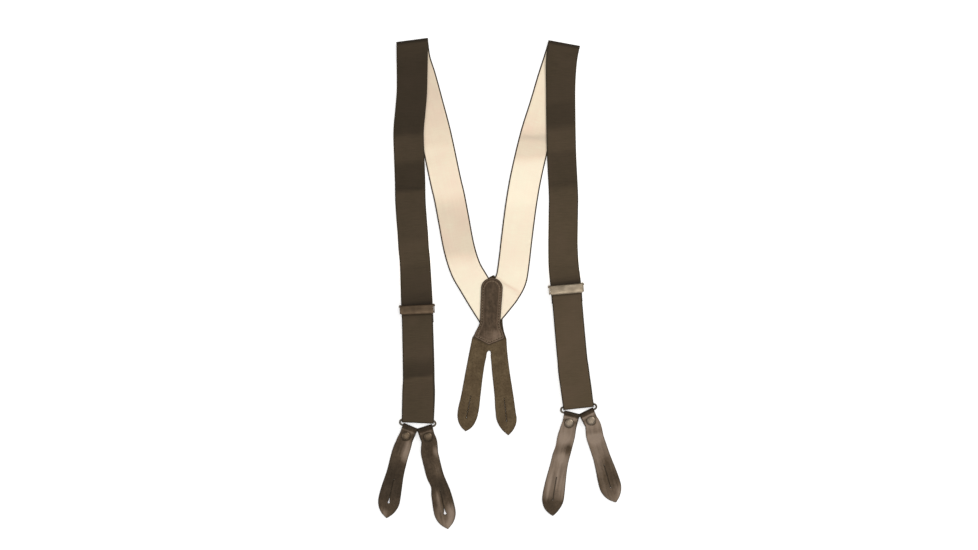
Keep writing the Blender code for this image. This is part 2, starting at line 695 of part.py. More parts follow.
# ------------------------------------------------------------------ the back patch
def outline_mesh(name, outline, thickness, height, material_name):
    """A flat leather piece cut to an outline of (x, y, is a corner)."""
    data = bpy.data.curves.new(name + "_outline", "CURVE")
    data.dimensions = "2D"
    data.fill_mode = "BOTH"
    data.extrude = thickness / 2 * 0.001
    data.resolution_u = 3
    spline = data.splines.new("BEZIER")
    spline.bezier_points.add(len(outline) - 1)
    for target, (x, y, corner) in zip(spline.bezier_points, outline):
        target.co = mm((x, y, 0))
        target.handle_left_type = target.handle_right_type = "VECTOR" if corner else "AUTO"
    spline.use_cyclic_u = True
    curve_obj = add_object(name + "_outline", data, collection="cutters")
    curve_obj.location.z = height * 0.001
    return mesh_from_curve(curve_obj, name, material_name)


def lining_point(a, b):
    """A point of the lining's middle surface: a from -1 to 1 across, b from 0 to 1 up the tongue."""
    waist, tongue, shoulder = 12.4, 12.9, 18.4
    up = 15.0 + 60.0 * b
    half = waist + (shoulder - waist) * (1 - smooth((up - 15.0) / 19.0))
    half += (tongue - waist) * smooth((up - 40) / 30)
    low = 6.4 + 8.6 * abs(a)
    high = 75.0 + 12.0 * math.sqrt(max(0.0, 1 - a * a))
    along = low + (high - low) * b
    height = LINING_LOW + (LINING_HIGH - LINING_LOW) * smooth((along - 16) / 14)
    return PATCH_CROTCH + PATCH_AXIS * along + PATCH_ACROSS * half * a + Vector((0, 0, height))


def build_patch():
    fork = outline_mesh("back_fork", FORK_OUTLINE, FORK_THICK, FORK_THICK / 2, "patch_leather")
    for keyhole, top in FORK_LEGS:
        cut_buttonhole(fork, keyhole, top, -1.0, FORK_THICK + 1.0)

    columns, rows = 8, 14
    mesh = bmesh.new()
    bmesh.ops.create_grid(mesh, x_segments=columns, y_segments=rows, size=1.0)
    for v in mesh.verts:
        v.co = mm(lining_point(v.co.x, (v.co.y + 1) / 2))
    data = bpy.data.meshes.new("back_lining")
    mesh.to_mesh(data)
    mesh.free()
    lining = add_object("back_lining", data, "patch_leather")
    solidify = lining.modifiers.new("thickness", "SOLIDIFY")
    solidify.thickness = LINING_THICK * 0.001
    solidify.offset = 0

    # The seam, one closed run of thread just inside the lining's edge.
    inset = 0.82
    seam = [(a, 0.03) for a in (-inset, -0.4, 0, 0.4, inset)]
    seam += [(inset, b / 10) for b in range(1, 9)]
    seam += [(math.cos(t) * inset, 0.84 + 0.115 * math.sin(t)) for t in
             (math.pi * i / 12 for i in range(1, 12))]
    seam += [(-inset, b / 10) for b in range(8, 0, -1)]
    lift = LINING_THICK / 2 + THREAD_RADIUS + GAP
    points = [lining_point(a, b) + Vector((0, 0, lift)) for a, b in seam]
    wire("back_seam_thread", points, THREAD_RADIUS, "thread", resolution=1)


# ------------------------------------------------------------------ build
def main():
    for obj in list(bpy.data.objects):
        bpy.data.objects.remove(obj)
    for name in ("braces", "cutters"):
        bpy.context.scene.collection.children.link(bpy.data.collections.new(name))
    for side in SIDES:
        build_strap(side)
        build_adjuster(side)
        build_ring(side)
        build_tab(side, "outer")
        build_tab(side, "inner")
    build_patch()


main()
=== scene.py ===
"""Button-on trouser braces, laid flat and folded over at the shoulders."""

import json
import math

import bmesh
import bpy
from mathutils import Matrix, Vector, noise


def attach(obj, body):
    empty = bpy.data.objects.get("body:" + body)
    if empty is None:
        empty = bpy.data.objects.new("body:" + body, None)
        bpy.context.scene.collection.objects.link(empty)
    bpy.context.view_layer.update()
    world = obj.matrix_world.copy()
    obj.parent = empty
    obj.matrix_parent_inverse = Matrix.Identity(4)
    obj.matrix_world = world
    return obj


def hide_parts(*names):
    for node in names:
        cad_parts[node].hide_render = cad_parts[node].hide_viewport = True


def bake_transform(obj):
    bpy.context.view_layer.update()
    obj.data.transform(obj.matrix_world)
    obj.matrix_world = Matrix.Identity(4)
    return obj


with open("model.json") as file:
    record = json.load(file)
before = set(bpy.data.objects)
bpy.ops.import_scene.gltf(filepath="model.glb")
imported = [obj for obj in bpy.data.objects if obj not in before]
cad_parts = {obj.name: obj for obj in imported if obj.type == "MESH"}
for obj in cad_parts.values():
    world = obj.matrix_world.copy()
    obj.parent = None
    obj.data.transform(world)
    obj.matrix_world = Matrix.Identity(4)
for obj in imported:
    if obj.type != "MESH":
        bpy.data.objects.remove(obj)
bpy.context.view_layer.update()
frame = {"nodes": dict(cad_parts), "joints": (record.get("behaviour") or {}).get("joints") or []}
joints = {joint["name"]: joint for joint in frame["joints"]}

# ------------------------------------------------------------------ webbing straps
# Two straps of woven elastic webbing, 38 mm wide, dark olive brown outside and cream inside.
# Each starts under the back patch, folds over at the shoulder, feeds through the adjuster,
# turns round the ring's bar and climbs behind itself to the hem on the adjuster's frame.
WEB_WIDTH = 38.0
WEB_THICK = 1.3
WEB_STEP = 3.0
FOLD_RADIUS = 1.5
WEB_HIGH = 5.35
WEB_LOW = 0.65
LOOP_RADIUS = 2.15
LOOP_SLACK = 0.6
HEM_RADIUS = 1.55
HEM_Y = -3.6
BAR_HEIGHT = 2.2
PIN_Y = 3.5
PATCH_WEB = 2.75
# Millimetres over which the webbing's ripple grows in from the two ends of a run. FLAT lets none
# grow, so that the adjuster can slide over it.
BACK_RIPPLE = (20.0, 48.0)
FRONT_RIPPLE = (20.0, 110.0)
FLAT = (1e6, 1e6)
# The lower run is narrower by this on each side where the adjuster's cheeks pass it, down to
# TUCK_ENDS from the adjuster.
ADJUSTER_TUCK = 0.5
TUCK_ENDS = 100.0
TUCK_RAMP = 15.0
LOOP_WIDENS_FROM = 85.0
LOOP_WIDENS_OVER = 30.0
SHOULDER_ROWS = 4
PATCH_CROTCH = Vector((-12.6, -80.0, 0))
PATCH_AXIS = Vector((4.8, 87.0, 0)).normalized()
PATCH_ACROSS = Vector((PATCH_AXIS.y, -PATCH_AXIS.x, 0))

# Runs are points (x, y, height of the webbing's middle) in millimetres. A tone is painted light and
# shade at a distance up the braces: lighter and darker bands where its waves are lit or shaded, painted
# shade under the folds and a painted shadow just above each adjuster. A crease is a soft ridge between
# two points: its height, its spread and how much painted shade darkens it.
STRAPS = {
    "left": {
        "back": [
            (-100.8, 268, 0.65), (-94.2, 247, 0.65), (-85.6, 215.5, 0.65), (-75.7, 177.5, 0.65),
            (-64.3, 124, 0.7), (-59.8, 105, 1.6), (-54.8, 79, 2.6), (-48, 43, 1.8),
            (-40.2, 18, 2.0), (-30.7, 1, PATCH_WEB), (-19.3, -18, PATCH_WEB), (-8, -36, PATCH_WEB),
            (5, -57, PATCH_WEB),
        ],
        "front": [
            (-104.1, 268, 3.2), (-104.4, 232, 2.5), (-106.2, 208, 2.5), (-108.4, 182, 2.5),
            (-107.7, 153, 2.4), (-106.7, 124, 1.0), (-106.3, 100, 0.65), (-105, 80, 1.6),
            (-103.3, 60, 4.9), (-102.2, 42, WEB_HIGH), (-100.4, 22, WEB_HIGH),
        ],
        "front_width": 36.6,
        "run": [(-96.8, -100, WEB_HIGH), (-96.8, -132, WEB_HIGH)],
        "loop_width": 38.6,
        "return_aside": 0.9,
        "tones": [
            (290, 0.72), (262, 0.58), (183, 0.57), (174, 0.90), (152, 0.92), (140, 0.64),
            (118, 0.60), (114, 0.62), (108, 0.92), (60, 0.94), (44, 1.08), (28, 1.08), (16, 0.90),
            (-4, 0.80), (-20, 0.62), (-26, 0.30), (-38, 0.96), (-46, 1.04), (-84, 1.04),
            (-102, 0.72), (-111, 0.64), (-113.5, 1.2), (-118, 1.06), (-164, 1.06),
        ],
        "back_tones": [
            (290, 0.88), (232, 0.87), (200, 0.93), (172, 0.98), (158, 1.09), (112, 1.10),
            (86, 0.94), (42, 0.92), (16, 1.20), (-30, 1.30),
        ],
        "creases": [((-126, 115), (-88, 114), 0.5, 1.8, 0.2), ((-126, 139), (-88, 131), -0.3, 6.0, 0)],
        "back_creases": [((-90, 145), (-48, 160), 0.5, 9.0, 0.04), ((-80, 95), (-40, 78), 0.7, 12.0, 0.03)],
    },
    "right": {
        "back": [
            (70.8, 264, 0.65), (64.2, 243.5, 0.65), (55.6, 214.5, 0.65), (43.6, 176, 0.65),
            (33.1, 132, 0.7), (27.6, 102, 1.6), (23.7, 74, 2.6), (20.3, 46, 1.8),
            (18, 26, 1.9), (14.6, 5.5, 2.6), (7.3, -8.5, PATCH_WEB), (0.1, -18, PATCH_WEB),
            (-10.6, -31, PATCH_WEB), (-25, -47, PATCH_WEB),
        ],
        "front": [
            (75.0, 268, 3.2), (73.9, 239, 2.5), (74.2, 191, 2.5), (75, 155, 2.4), (76.4, 126, 1.0),
            (77.4, 104, 0.65), (77.2, 86, 1.0), (76.8, 66, 4.7), (76.6, 46, WEB_HIGH),
            (77.4, 22, WEB_HIGH),
        ],
        "front_width": 35.2,
        "run": [(86.7, -80, WEB_HIGH), (89.7, -108, WEB_HIGH), (92.2, -126, WEB_HIGH)],
        "loop_width": 37.0,
        "return_aside": 0.4,
        "tones": [
            (286, 0.86), (222, 0.82), (212, 0.68), (194, 0.68), (180, 1.02), (163, 1.05),
            (154, 0.84), (122, 0.85), (106, 1.15), (30, 1.26), (10, 1.1), (4, 0.84), (-1, 0.35),
            (-14, 1.30), (-60, 1.42), (-146, 1.42),
        ],
        "back_tones": [
            (290, 0.98), (240, 1.06), (190, 1.03), (181, 0.97), (176, 0.86), (170, 0.93),
            (157, 0.96), (140, 1.24), (100, 1.30), (85, 1.18), (40, 1.16), (8, 1.22), (-30, 1.22),
        ],
        "creases": [((56, 118), (94, 122), 0.4, 4.0, 0.1)],
        "back_creases": [
            ((6, 0.6), (24, -12.0), 0.55, 2.0, 0.22), ((60, 172), (18, 178), -0.4, 3.0, 0.1),
            ((50, 110), (0, 96), 0.6, 11.0, 0),
        ],
    },
}


def mm(vector):
    return Vector(vector) * 0.001


def smooth(t):
    t = min(1.0, max(0.0, t))
    return t * t * (3 - 2 * t)


def curve_through(points, spacing):
    """Points about spacing apart on a smooth curve through the given ones."""
    points = [Vector(p) for p in points]
    ends = [2 * points[0] - points[1]] + points + [2 * points[-1] - points[-2]]
    dense = []
    for before, a, b, after in zip(ends, ends[1:], ends[2:], ends[3:]):
        for step in range(16):
            t = step / 16
            dense.append(0.5 * (
                2 * a + (b - before) * t + (2 * before - 5 * a + 4 * b - after) * t * t
                + (3 * a - before - 3 * b + after) * t**3
            ))
    dense.append(points[-1])
    length = sum((b - a).length for a, b in zip(dense, dense[1:]))
    count = max(2, round(length / spacing))
    found, run, wanted = [dense[0]], 0.0, length / count
    for a, b in zip(dense, dense[1:]):
        step = (b - a).length
        while run + step >= wanted * len(found) - 1e-9 and len(found) < count:
            found.append(a.lerp(b, (wanted * len(found) - run) / step))
        run += step
    return found + [dense[-1]]


def turn_points(centre, towards, radius, start, end, steps):
    """Points on an arc in the upright plane that holds the direction towards."""
    angles = [start + (end - start) * i / steps for i in range(steps + 1)]
    return [centre + radius * (towards * math.cos(a) + Vector((0, 0, math.sin(a)))) for a in angles]


def runs_along(points):
    """How far along the path each point is."""
    runs = [0.0]
    for a, b in zip(points, points[1:]):
        runs.append(runs[-1] + (b - a).length)
    return runs


def rungs_of(points, half_width, crease=None, crease_reach=30.0):
    """Half rungs square to a run. Near its first point they lean over to a crease direction."""
    found = []
    for i, run in enumerate(runs_along(points)):
        tangent = points[min(len(points) - 1, i + 1)] - points[max(0, i - 1)]
        side = Vector((-tangent.y, tangent.x, 0)).normalized()
        rung = side = side if side.x > 0 else -side
        if crease is not None:
            leaning = crease.lerp(side, smooth(run / crease_reach)).normalized()
            rung = leaning / leaning.dot(side)
        found.append(rung * (half_width(run) if callable(half_width) else half_width))
    return found


def between(pairs, place):
    """The value at a place in a list of (place, value) that runs downwards."""
    if place >= pairs[0][0]:
        return pairs[0][1]
    for (high, a), (low, b) in zip(pairs, pairs[1:]):
        if place >= low:
            return a + (b - a) * smooth((high - place) / (high - low))
    return pairs[-1][1]


def from_line(point, start, end):
    along = Vector(end) - Vector(start)
    return abs((point.x - start[0]) * along.y - (point.y - start[1]) * along.x) / along.length


def add_object(name, data):
    made = bpy.data.objects.new(name, data)
    bpy.context.scene.collection.objects.link(made)
    return made


def shade_smooth(mesh):
    for face in mesh.faces:
        face.smooth = True


def grid_place(v, columns, rows):
    """The column and row of a vertex of a grid that still spans -1 to 1."""
    return round((v.co.x + 1) / 2 * columns), round((v.co.y + 1) / 2 * rows)


def cut_across(mesh, point, normal, **settings):
    geometry = mesh.verts[:] + mesh.edges[:] + mesh.faces[:]
    bmesh.ops.bisect_plane(mesh, geom=geometry, plane_co=mm(point), plane_no=normal, **settings)


def new_piece(name, mesh, materials):
    """A piece made from a bmesh, which is freed."""
    data = bpy.data.meshes.new(name)
    mesh.to_mesh(data)
    mesh.free()
    for material in materials:
        data.materials.append(material)
    return add_object(name, data)


# The webbing's section, once round: (across, height), both from -1 to 1 and the outer face first.
# WEAVE_HALF is its half width on the weave's own map, in metres.
WEB_COLUMNS = 12
WEAVE_HALF = 0.019
flat_part = [-0.982 + 1.964 * i / WEB_COLUMNS for i in range(WEB_COLUMNS + 1)]
round_part = [(0.994, 0.72), (1.0, 0.28), (1.0, -0.28), (0.994, -0.72)]
WEB_SECTION = [(x, 1.0) for x in flat_part] + round_part
WEB_SECTION += [(-x, -h) for x, h in WEB_SECTION]
INNER_FACES = range(len(WEB_SECTION) // 2, len(WEB_SECTION) // 2 + WEB_COLUMNS)


def webbing(name, stations, outer, start=0.0, tones=((0, 1.0),), creases=(), ripple_in=(0.0, 0.0),
            trims=(), fold=None):
    """A run of webbing with rounded selvedges. outer is the side of the dark face, 1 or -1. trims
    are (point, direction) planes that cut it off, and fold is the (point, direction) near which painted
    shade darkens it. The tones and creases paint light and shade along it."""
    centres = [centre for centre, _ in stations]
    runs, rows, sides = runs_along(centres), len(stations) - 1, len(WEB_SECTION)
    mesh = bmesh.new()
    weave = mesh.loops.layers.uv.new("weave")
    tone = mesh.verts.layers.float.new("tone")
    bmesh.ops.create_grid(mesh, x_segments=sides, y_segments=rows, size=1.0)
    for face in mesh.faces:
        face.smooth = True
        first = min(round((v.co.x + 1) / 2 * sides) for v in face.verts)
        face.material_index = 1 if first in INNER_FACES else 0
        for loop in face.loops:
            side, row = grid_place(loop.vert, sides, rows)
            loop[weave].uv = (WEB_SECTION[side % sides][0] * WEAVE_HALF, (start + runs[row]) * 0.001)
    for v in mesh.verts:
        side, row = grid_place(v, sides, rows)
        centre, rung = stations[row]
        tangent = centres[min(rows, row + 1)] - centres[max(0, row - 1)]
        normal = rung.cross(tangent).normalized() * outer
        x, height = WEB_SECTION[side % sides]
        point = centre + rung * x
        quiet = smooth(runs[row] / max(ripple_in[0], 1e-6))
        quiet *= smooth((runs[-1] - runs[row]) / max(ripple_in[1], 1e-6))
        rise = 0.35 + 0.35 * noise.noise(point / 34.0) + 0.12 * noise.noise(point / 9.0)
        # dull gathers the painted shade in the creases.
        dull = 1.0
        for one, other, ridge, spread, darker in creases:
            near = math.exp(-((from_line(point, one, other) / spread) ** 2))
            rise += ridge * near
            dull -= darker * near
        v.co = mm(point + normal * height * WEB_THICK / 2 + Vector((0, 0, max(0.0, rise) * quiet)))
        # Painted light and shade along the run, darkened by the painted shade in any crease.
        slant = 0.12 * (centre.x - point.x) + 3.0 * noise.noise(point / 18.0) * quiet
        v[tone] = between(tones, point.y + slant) * dull
        # Painted shade darkens the run near the fold.
        if fold:
            v[tone] *= 0.45 + 0.55 * smooth((fold[0] - point).dot(fold[1]) / 3.5)
    bmesh.ops.remove_doubles(mesh, verts=mesh.verts, dist=1e-6)
    for point, away in trims:
        cut_across(mesh, point, away, clear_outer=True)
    rims = [edge for edge in mesh.edges if edge.is_boundary]
    for edge in rims:
        edge.smooth = False
    bmesh.ops.holes_fill(mesh, edges=rims, sides=0)
    bmesh.ops.recalc_face_normals(mesh, faces=mesh.faces)
    return new_piece(name, mesh, WEB_MATERIALS)


def shade(red, green, blue):
    """A colour given as a paint chart gives it, 0 to 255, in the shader's linear terms."""
    linear = [((c / 255 + 0.055) / 1.055) ** 2.4 if c > 10 else c / 255 / 12.92 for c in (red, green, blue)]
    return (*linear, 1.0)


def node(tree, kind, *sources, out=0, **settings):
    """Adds a node. The sources go to its inputs in order, and None leaves an input as it is."""
    made = tree.nodes.new("ShaderNode" + kind)
    for key, value in settings.items():
        setattr(made, key, value)
    for socket, source in zip(made.inputs, sources):
        if isinstance(source, bpy.types.NodeSocket):
            tree.links.new(source, socket)
        elif source is not None:
            socket.default_value = source
    return made.outputs[out]


def math_node(tree, operation, *sources):
    return node(tree, "Math", *sources, operation=operation)


def spread_out(tree, value, low, high, to_low=0.0, to_high=1.0):
    return node(tree, "MapRange", value, low, high, to_low, to_high)


def mix(tree, factor, a, b, how="MIX"):
    other_types = [None] * 5
    return node(tree, "Mix", factor, *other_types, a, b, out=2, data_type="RGBA", blend_type=how)


def bump(tree, height, strength, distance):
    made = tree.nodes.new("ShaderNodeBump")
    made.inputs["Strength"].default_value = strength
    made.inputs["Distance"].default_value = distance
    tree.links.new(height, made.inputs["Height"])
    return made.outputs["Normal"]


def finish_of(name, roughness, metallic=0.0, **constants):
    """A new material with its node tree and its shader. Constants are set on the shader itself."""
    made = bpy.data.materials.new(name)
    made.use_nodes = True
    shader = made.node_tree.nodes["Principled BSDF"]
    shader.inputs["Roughness"].default_value = roughness
    shader.inputs["Metallic"].default_value = metallic
    for key, value in constants.items():
        shader.inputs[key.replace("_", " ")].default_value = value
    return made, made.node_tree, shader


def greyed(tree, amount):
    """A grey of that strength, to multiply a colour by."""
    return node(tree, "CombineColor", amount, amount, amount)


def times(tree, colour, amount):
    """A colour made that much lighter or darker."""
    return mix(tree, 1.0, colour, greyed(tree, amount), "MULTIPLY")


# Metres between crosswise ribs, between lengthwise ends, and over which the selvedge fades in.
RIB_PITCH = 0.00092
WARP_PITCH = 0.00052
SELVEDGE_FADE = 0.0004


def weave_material(name, ground, raised, cloudy, edge, edge_from, cloud_share, painted_light, painted_light_share):
    """Elastic webbing: fine crosswise ribs over lengthwise rubber, slubs, a tight selvedge, and painted
    light and shade from its tone.
    """
    made, tree, shader = finish_of(
        name, 0.86, Sheen_Weight=0.06, Sheen_Roughness=0.45, Specular_IOR_Level=0.2)
    place = node(tree, "UVMap", uv_map="weave")
    parts = node(tree, "SeparateXYZ", place)
    across, along = parts, parts.node.outputs[1]
    object_place = node(tree, "TexCoord", out=3)
    wobble = node(tree, "TexNoise", object_place, None, 90.0, 2.0)
    wobbled = math_node(tree, "MULTIPLY", wobble, 9.0)
    rib_phase = math_node(tree, "MULTIPLY_ADD", along, 2 * math.pi / RIB_PITCH, wobbled)
    rib = spread_out(tree, math_node(tree, "SINE", rib_phase), -1.0, 1.0)
    end_phase = math_node(tree, "MULTIPLY", across, 2 * math.pi / WARP_PITCH)
    warp_end = spread_out(tree, math_node(tree, "SINE", end_phase), -1.0, 1.0)
    yarn = math_node(tree, "MULTIPLY_ADD", rib, 0.85, math_node(tree, "MULTIPLY", warp_end, 0.15))
    stretched = node(tree, "Mapping", place, None, None, (70.0, 900.0, 1.0))
    slub = node(tree, "TexNoise", stretched, None, 1.0, 3.0, 0.6)
    lengthwise = node(tree, "Mapping", place, None, None, (420.0, 9.0, 1.0))
    streak = node(tree, "TexNoise", lengthwise, None, 1.0, 2.0, 0.5)
    cloud = node(tree, "TexNoise", object_place, None, 30.0, 3.0, 0.55)
    colour = mix(tree, spread_out(tree, yarn, 0.1, 0.9), ground, raised)
    colour = mix(tree, spread_out(tree, slub, 0.35, 0.70, 0.0, 0.75), colour, ground)
    colour = mix(tree, spread_out(tree, cloud, 0.40, 0.68, 0.0, cloud_share), colour, cloudy)
    colour = times(tree, colour, spread_out(tree, streak, 0.3, 0.7, 0.985, 1.015))
    # The tone attribute paints light and shade, and above 1 it mixes towards a painted-light colour.
    tone = node(tree, "Attribute", out=2, attribute_name="tone")
    colour = times(tree, colour, tone)
    colour = mix(tree, spread_out(tree, tone, 1.0, 1.25, 0.0, painted_light_share), colour, painted_light)
    out_from_middle = math_node(tree, "ABSOLUTE", across)
    selvedge = spread_out(tree, out_from_middle, edge_from, edge_from + SELVEDGE_FADE)
    colour = mix(tree, selvedge, colour, edge)
    tree.links.new(colour, shader.inputs["Base Color"])
    height = math_node(tree, "MULTIPLY_ADD", slub, 0.5, yarn)
    tree.links.new(bump(tree, height, 0.55, 0.00022), shader.inputs["Normal"])
    return made


WEB_MATERIALS = [
    weave_material(
        "webbing_outer_face", shade(68, 57, 42), shade(88, 74, 56), shade(84, 69, 54), shade(58, 49, 36),
        0.0175, 0.5, shade(92, 79, 60), 0.0),
    weave_material(
        "webbing_inner_face", shade(250, 229, 201), shade(255, 243, 217), shade(253, 222, 199),
        shade(66, 54, 40), 0.0172, 0.6, shade(255, 250, 226), 0.5),
]


def thread_material(name, roughness, sheen, dark, light):
    """Twisted thread, darker between its plies."""
    made, tree, shader = finish_of(name, roughness, Sheen_Weight=sheen)
    twist = node(tree, "TexWave", node(tree, "TexCoord", out=3), 900.0, 1.5)
    tree.links.new(mix(tree, twist, dark, light), shader.inputs["Base Color"])
    return made


hem_thread = thread_material("hem_thread", 0.7, 0.3, shade(60, 50, 36), shade(104, 90, 68))


def stitches(name, rows, radius, material):
    """Thread seen from outside: a rounded stitch from each start to each end."""
    mesh = bmesh.new()
    for start, end in rows:
        lying = (end - start).to_track_quat("X", "Z").to_matrix().to_4x4()
        size = Matrix.Diagonal(mm(((end - start).length / 2, radius, radius))).to_4x4()
        place = Matrix.Translation(mm((start + end) / 2)) @ lying @ size
        bmesh.ops.create_uvsphere(mesh, u_segments=6, v_segments=5, radius=1.0, matrix=place)
    shade_smooth(mesh)
    bmesh.ops.recalc_face_normals(mesh, faces=mesh.faces)
    return new_piece(name, mesh, [material])


def ring_frame(side):
    """Middle of the ring's bar, the direction along it, and the direction to the strap."""
    hinge = joints[side + "_ring_hinge"]
    along = -Vector(hinge["axis"])
    return Vector(hinge["pos_m"]) * 1000, along, Vector((-along.y, along.x, 0))


def adjuster_frame(side):
    """Middle of the adjuster on the table, the direction along it, and the direction up the strap."""
    hinge = joints[side + "_adjuster_lever_hinge"]
    along = -Vector(hinge["axis"])
    up = Vector((-along.y, along.x, 0))
    pin = Vector(hinge["pos_m"]) * 1000
    return Vector((pin.x, pin.y, 0)) - up * PIN_Y, along, up


for side, strap in STRAPS.items():
    fold_joint = joints[side + "_shoulder_fold"]
    fold_axis, crease = Vector(fold_joint["pos_m"]) * 1000, -Vector(fold_joint["axis"])
    to_top = Vector((-crease.y, crease.x, 0))
    half, half_loop = WEB_WIDTH / 2, strap["loop_width"] / 2
    half_adjuster = min(half, half_loop)
    middle, adjuster_along, up = adjuster_frame(side)
    ring_centre, ring_along, ring_up = ring_frame(side)
    upright = Vector((0, 0, 1))

    # Back run, cream side up, from the fold down under the patch.
    back = curve_through([fold_axis - upright * FOLD_RADIUS] + strap["back"], WEB_STEP)
    back_stations = list(zip(back, rungs_of(back, half, crease)))
    outward = PATCH_ACROSS if side == "right" else -PATCH_ACROSS
    trims = [(PATCH_CROTCH + PATCH_AXIS * 31, -PATCH_AXIS), (PATCH_CROTCH + outward * 0.15, -outward)]
    back_length = runs_along(back)[-1]
    piece = webbing(
        side + "_back_webbing", back_stations[SHOULDER_ROWS:], 1, 0.0, strap["back_tones"],
        strap["back_creases"], BACK_RIPPLE, trims)
    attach(piece, "back")
    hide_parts(side + "_strap_back")

    # Front run, dark side up, from the fold down into the adjuster.
    into = middle + up * 1.0 + upright * WEB_HIGH
    front = curve_through([fold_axis + upright * FOLD_RADIUS] + strap["front"] + [into], WEB_STEP)
    front_length = runs_along(front)[-1]

    def half_front(run):
        narrow = smooth(run / 60) * smooth((front_length - run) / 60)
        end = half if run < front_length / 2 else half_adjuster
        return end + (strap["front_width"] / 2 - end) * narrow

    front_rungs = rungs_of(front, half_front, crease)
    front_rungs[-1] = adjuster_along * half_adjuster
    front_stations = list(zip(front, front_rungs))

    # Shoulder: the half turn round the crease, with a little of both runs.
    fold_half = crease * half / crease.x
    turn = turn_points(fold_axis, to_top, FOLD_RADIUS, -math.pi / 2, math.pi / 2, 14)
    shoulder = back_stations[SHOULDER_ROWS:0:-1] + [(p, fold_half) for p in turn]
    shoulder += front_stations[1:SHOULDER_ROWS + 1]
    start = back_length - SHOULDER_ROWS * WEB_STEP
    piece = webbing(
        side + "_shoulder_webbing", shoulder, -1, start, strap["tones"], fold=(fold_axis, to_top))
    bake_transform(piece)
    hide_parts(side + "_strap_fold")
    shoulder_length = runs_along([p for p, _ in shoulder])[-1]

    start += shoulder_length
    piece = webbing(
        side + "_front_webbing", front_stations[SHOULDER_ROWS:], -1, start, strap["tones"],
        strap["creases"], FRONT_RIPPLE)
    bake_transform(piece)
    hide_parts(side + "_strap_front")

    # Lower run: on down to the ring and round its bar.
    start += front_length - SHOULDER_ROWS * WEB_STEP
    turn_centre = ring_centre - ring_up * LOOP_SLACK
    down = curve_through([into] + strap["run"] + [turn_centre + upright * LOOP_RADIUS], WEB_STEP)
    down_length = runs_along(down)[-1]

    def half_down(run):
        tucked = ADJUSTER_TUCK * smooth(run / TUCK_RAMP) * smooth((TUCK_ENDS - run) / TUCK_RAMP)
        widened = smooth((run - LOOP_WIDENS_FROM) / LOOP_WIDENS_OVER)
        return half_adjuster + (half_loop - half_adjuster) * widened - tucked

    round_bar = turn_points(turn_centre, -ring_up, LOOP_RADIUS, math.pi / 2, -math.pi / 2, 16)
    lower = [(down[0], adjuster_along * half_adjuster)]
    lower += list(zip(down, rungs_of(down, half_down)))[1:-1]
    lower += [(p, ring_along * half_loop) for p in round_bar]
    piece = webbing(side + "_lower_webbing", lower, -1, start, strap["tones"], (), FLAT)
    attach(piece, side + "_lower")
    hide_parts(side + "_strap_loop")
    lower_length = runs_along([p for p, _ in lower])[-1]

    # Return: back up behind, round the frame's lower bar, and down again to the sewn hem.
    start += lower_length
    hem_centre = middle + up * HEM_Y + upright * BAR_HEIGHT
    hem_turn = turn_points(hem_centre, up, HEM_RADIUS, -math.pi / 2, math.pi / 2, 14)
    below = [Vector((p[0] + strap["return_aside"], p[1], WEB_LOW)) for p in reversed(strap["run"])]
    climb = curve_through([round_bar[-1]] + below + [hem_turn[0]], WEB_STEP)
    on_return = upright * (WEB_LOW + WEB_THICK + 0.1)
    hem = curve_through(
        [hem_turn[-1], hem_turn[-1] - up * 4, middle - up * 11 + on_return, middle - up * 17 + on_return],
        WEB_STEP / 2)

    def half_climb(run):
        return half_down(down_length - run)

    returning = [(climb[0], ring_along * half_loop)]
    returning += list(zip(climb, rungs_of(climb, half_climb)))[1:-1]
    returning += [(p, adjuster_along * half_adjuster) for p in hem_turn]
    returning += list(zip(hem, rungs_of(hem, half_adjuster)))[1:]
    piece = webbing(side + "_return_webbing", returning, -1, start, [(0, 1.0)], (), FLAT)
    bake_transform(piece)

    # Two rows of stitches close the hem, seen on the underside.
    row_starts = [
        (middle - up * down_by + adjuster_along * (half_adjuster - 2.0 - 3.3 * i) + upright * 0.04)
        for down_by in (12.5, 15.5) for i in range(11)]
    sewn = stitches(
        side + "_hem_stitches", [(p, p - adjuster_along * 2.3) for p in row_starts], 0.28, hem_thread)
    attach(sewn, side + "_adjuster")

# ------------------------------------------------------------------ adjusters
# Lever adjusters of pressed steel with an antique satin plating. A U-shaped frame carries a pin
# between its cheeks, and a lever plate rolled round the pin clamps the webbing on the frame's bar.
PIN_HEIGHT = 7.8
LEVER_BARREL = 1.5
LEVER_HALF = 19.6


def metal_material(name, bright, dull, roughness, bump_depth=0.00006, tarnished=0.8, toned=False):
    """Plated metal: cloudy tarnish, fine brushing along the piece, and small pits."""
    made, tree, shader = finish_of(name, roughness, 1.0)
    place = node(tree, "TexCoord", out=3)
    tarnish = node(tree, "TexNoise", place, None, 110.0, 3.0, 0.55)
    brushed = node(tree, "Mapping", place, None, None, (120.0, 2600.0, 900.0))
    brushing = node(tree, "TexNoise", brushed, None, 1.0, 2.0)
    pits = node(tree, "TexVoronoi", place, None, 1500.0)
    colour = mix(tree, spread_out(tree, tarnish, 0.30, 0.80, 0.0, tarnished), bright, dull)
    colour = mix(tree, spread_out(tree, pits, 0.0, 0.16, 0.55, 0.0), colour, dull)
    # The tone attribute paints light and shade on the piece.
    if toned:
        colour = times(tree, colour, node(tree, "Attribute", out=2, attribute_name="tone"))
    tree.links.new(colour, shader.inputs["Base Color"])
    matt = spread_out(tree, tarnish, 0.3, 0.7, roughness - 0.12, roughness + 0.06)
    worn = math_node(tree, "MULTIPLY_ADD", brushing, 0.16, matt)
    tree.links.new(worn, shader.inputs["Roughness"])
    height = math_node(tree, "MULTIPLY_ADD", tarnish, 0.6, brushing)
    tree.links.new(bump(tree, height, 0.35, bump_depth), shader.inputs["Normal"])
    return made
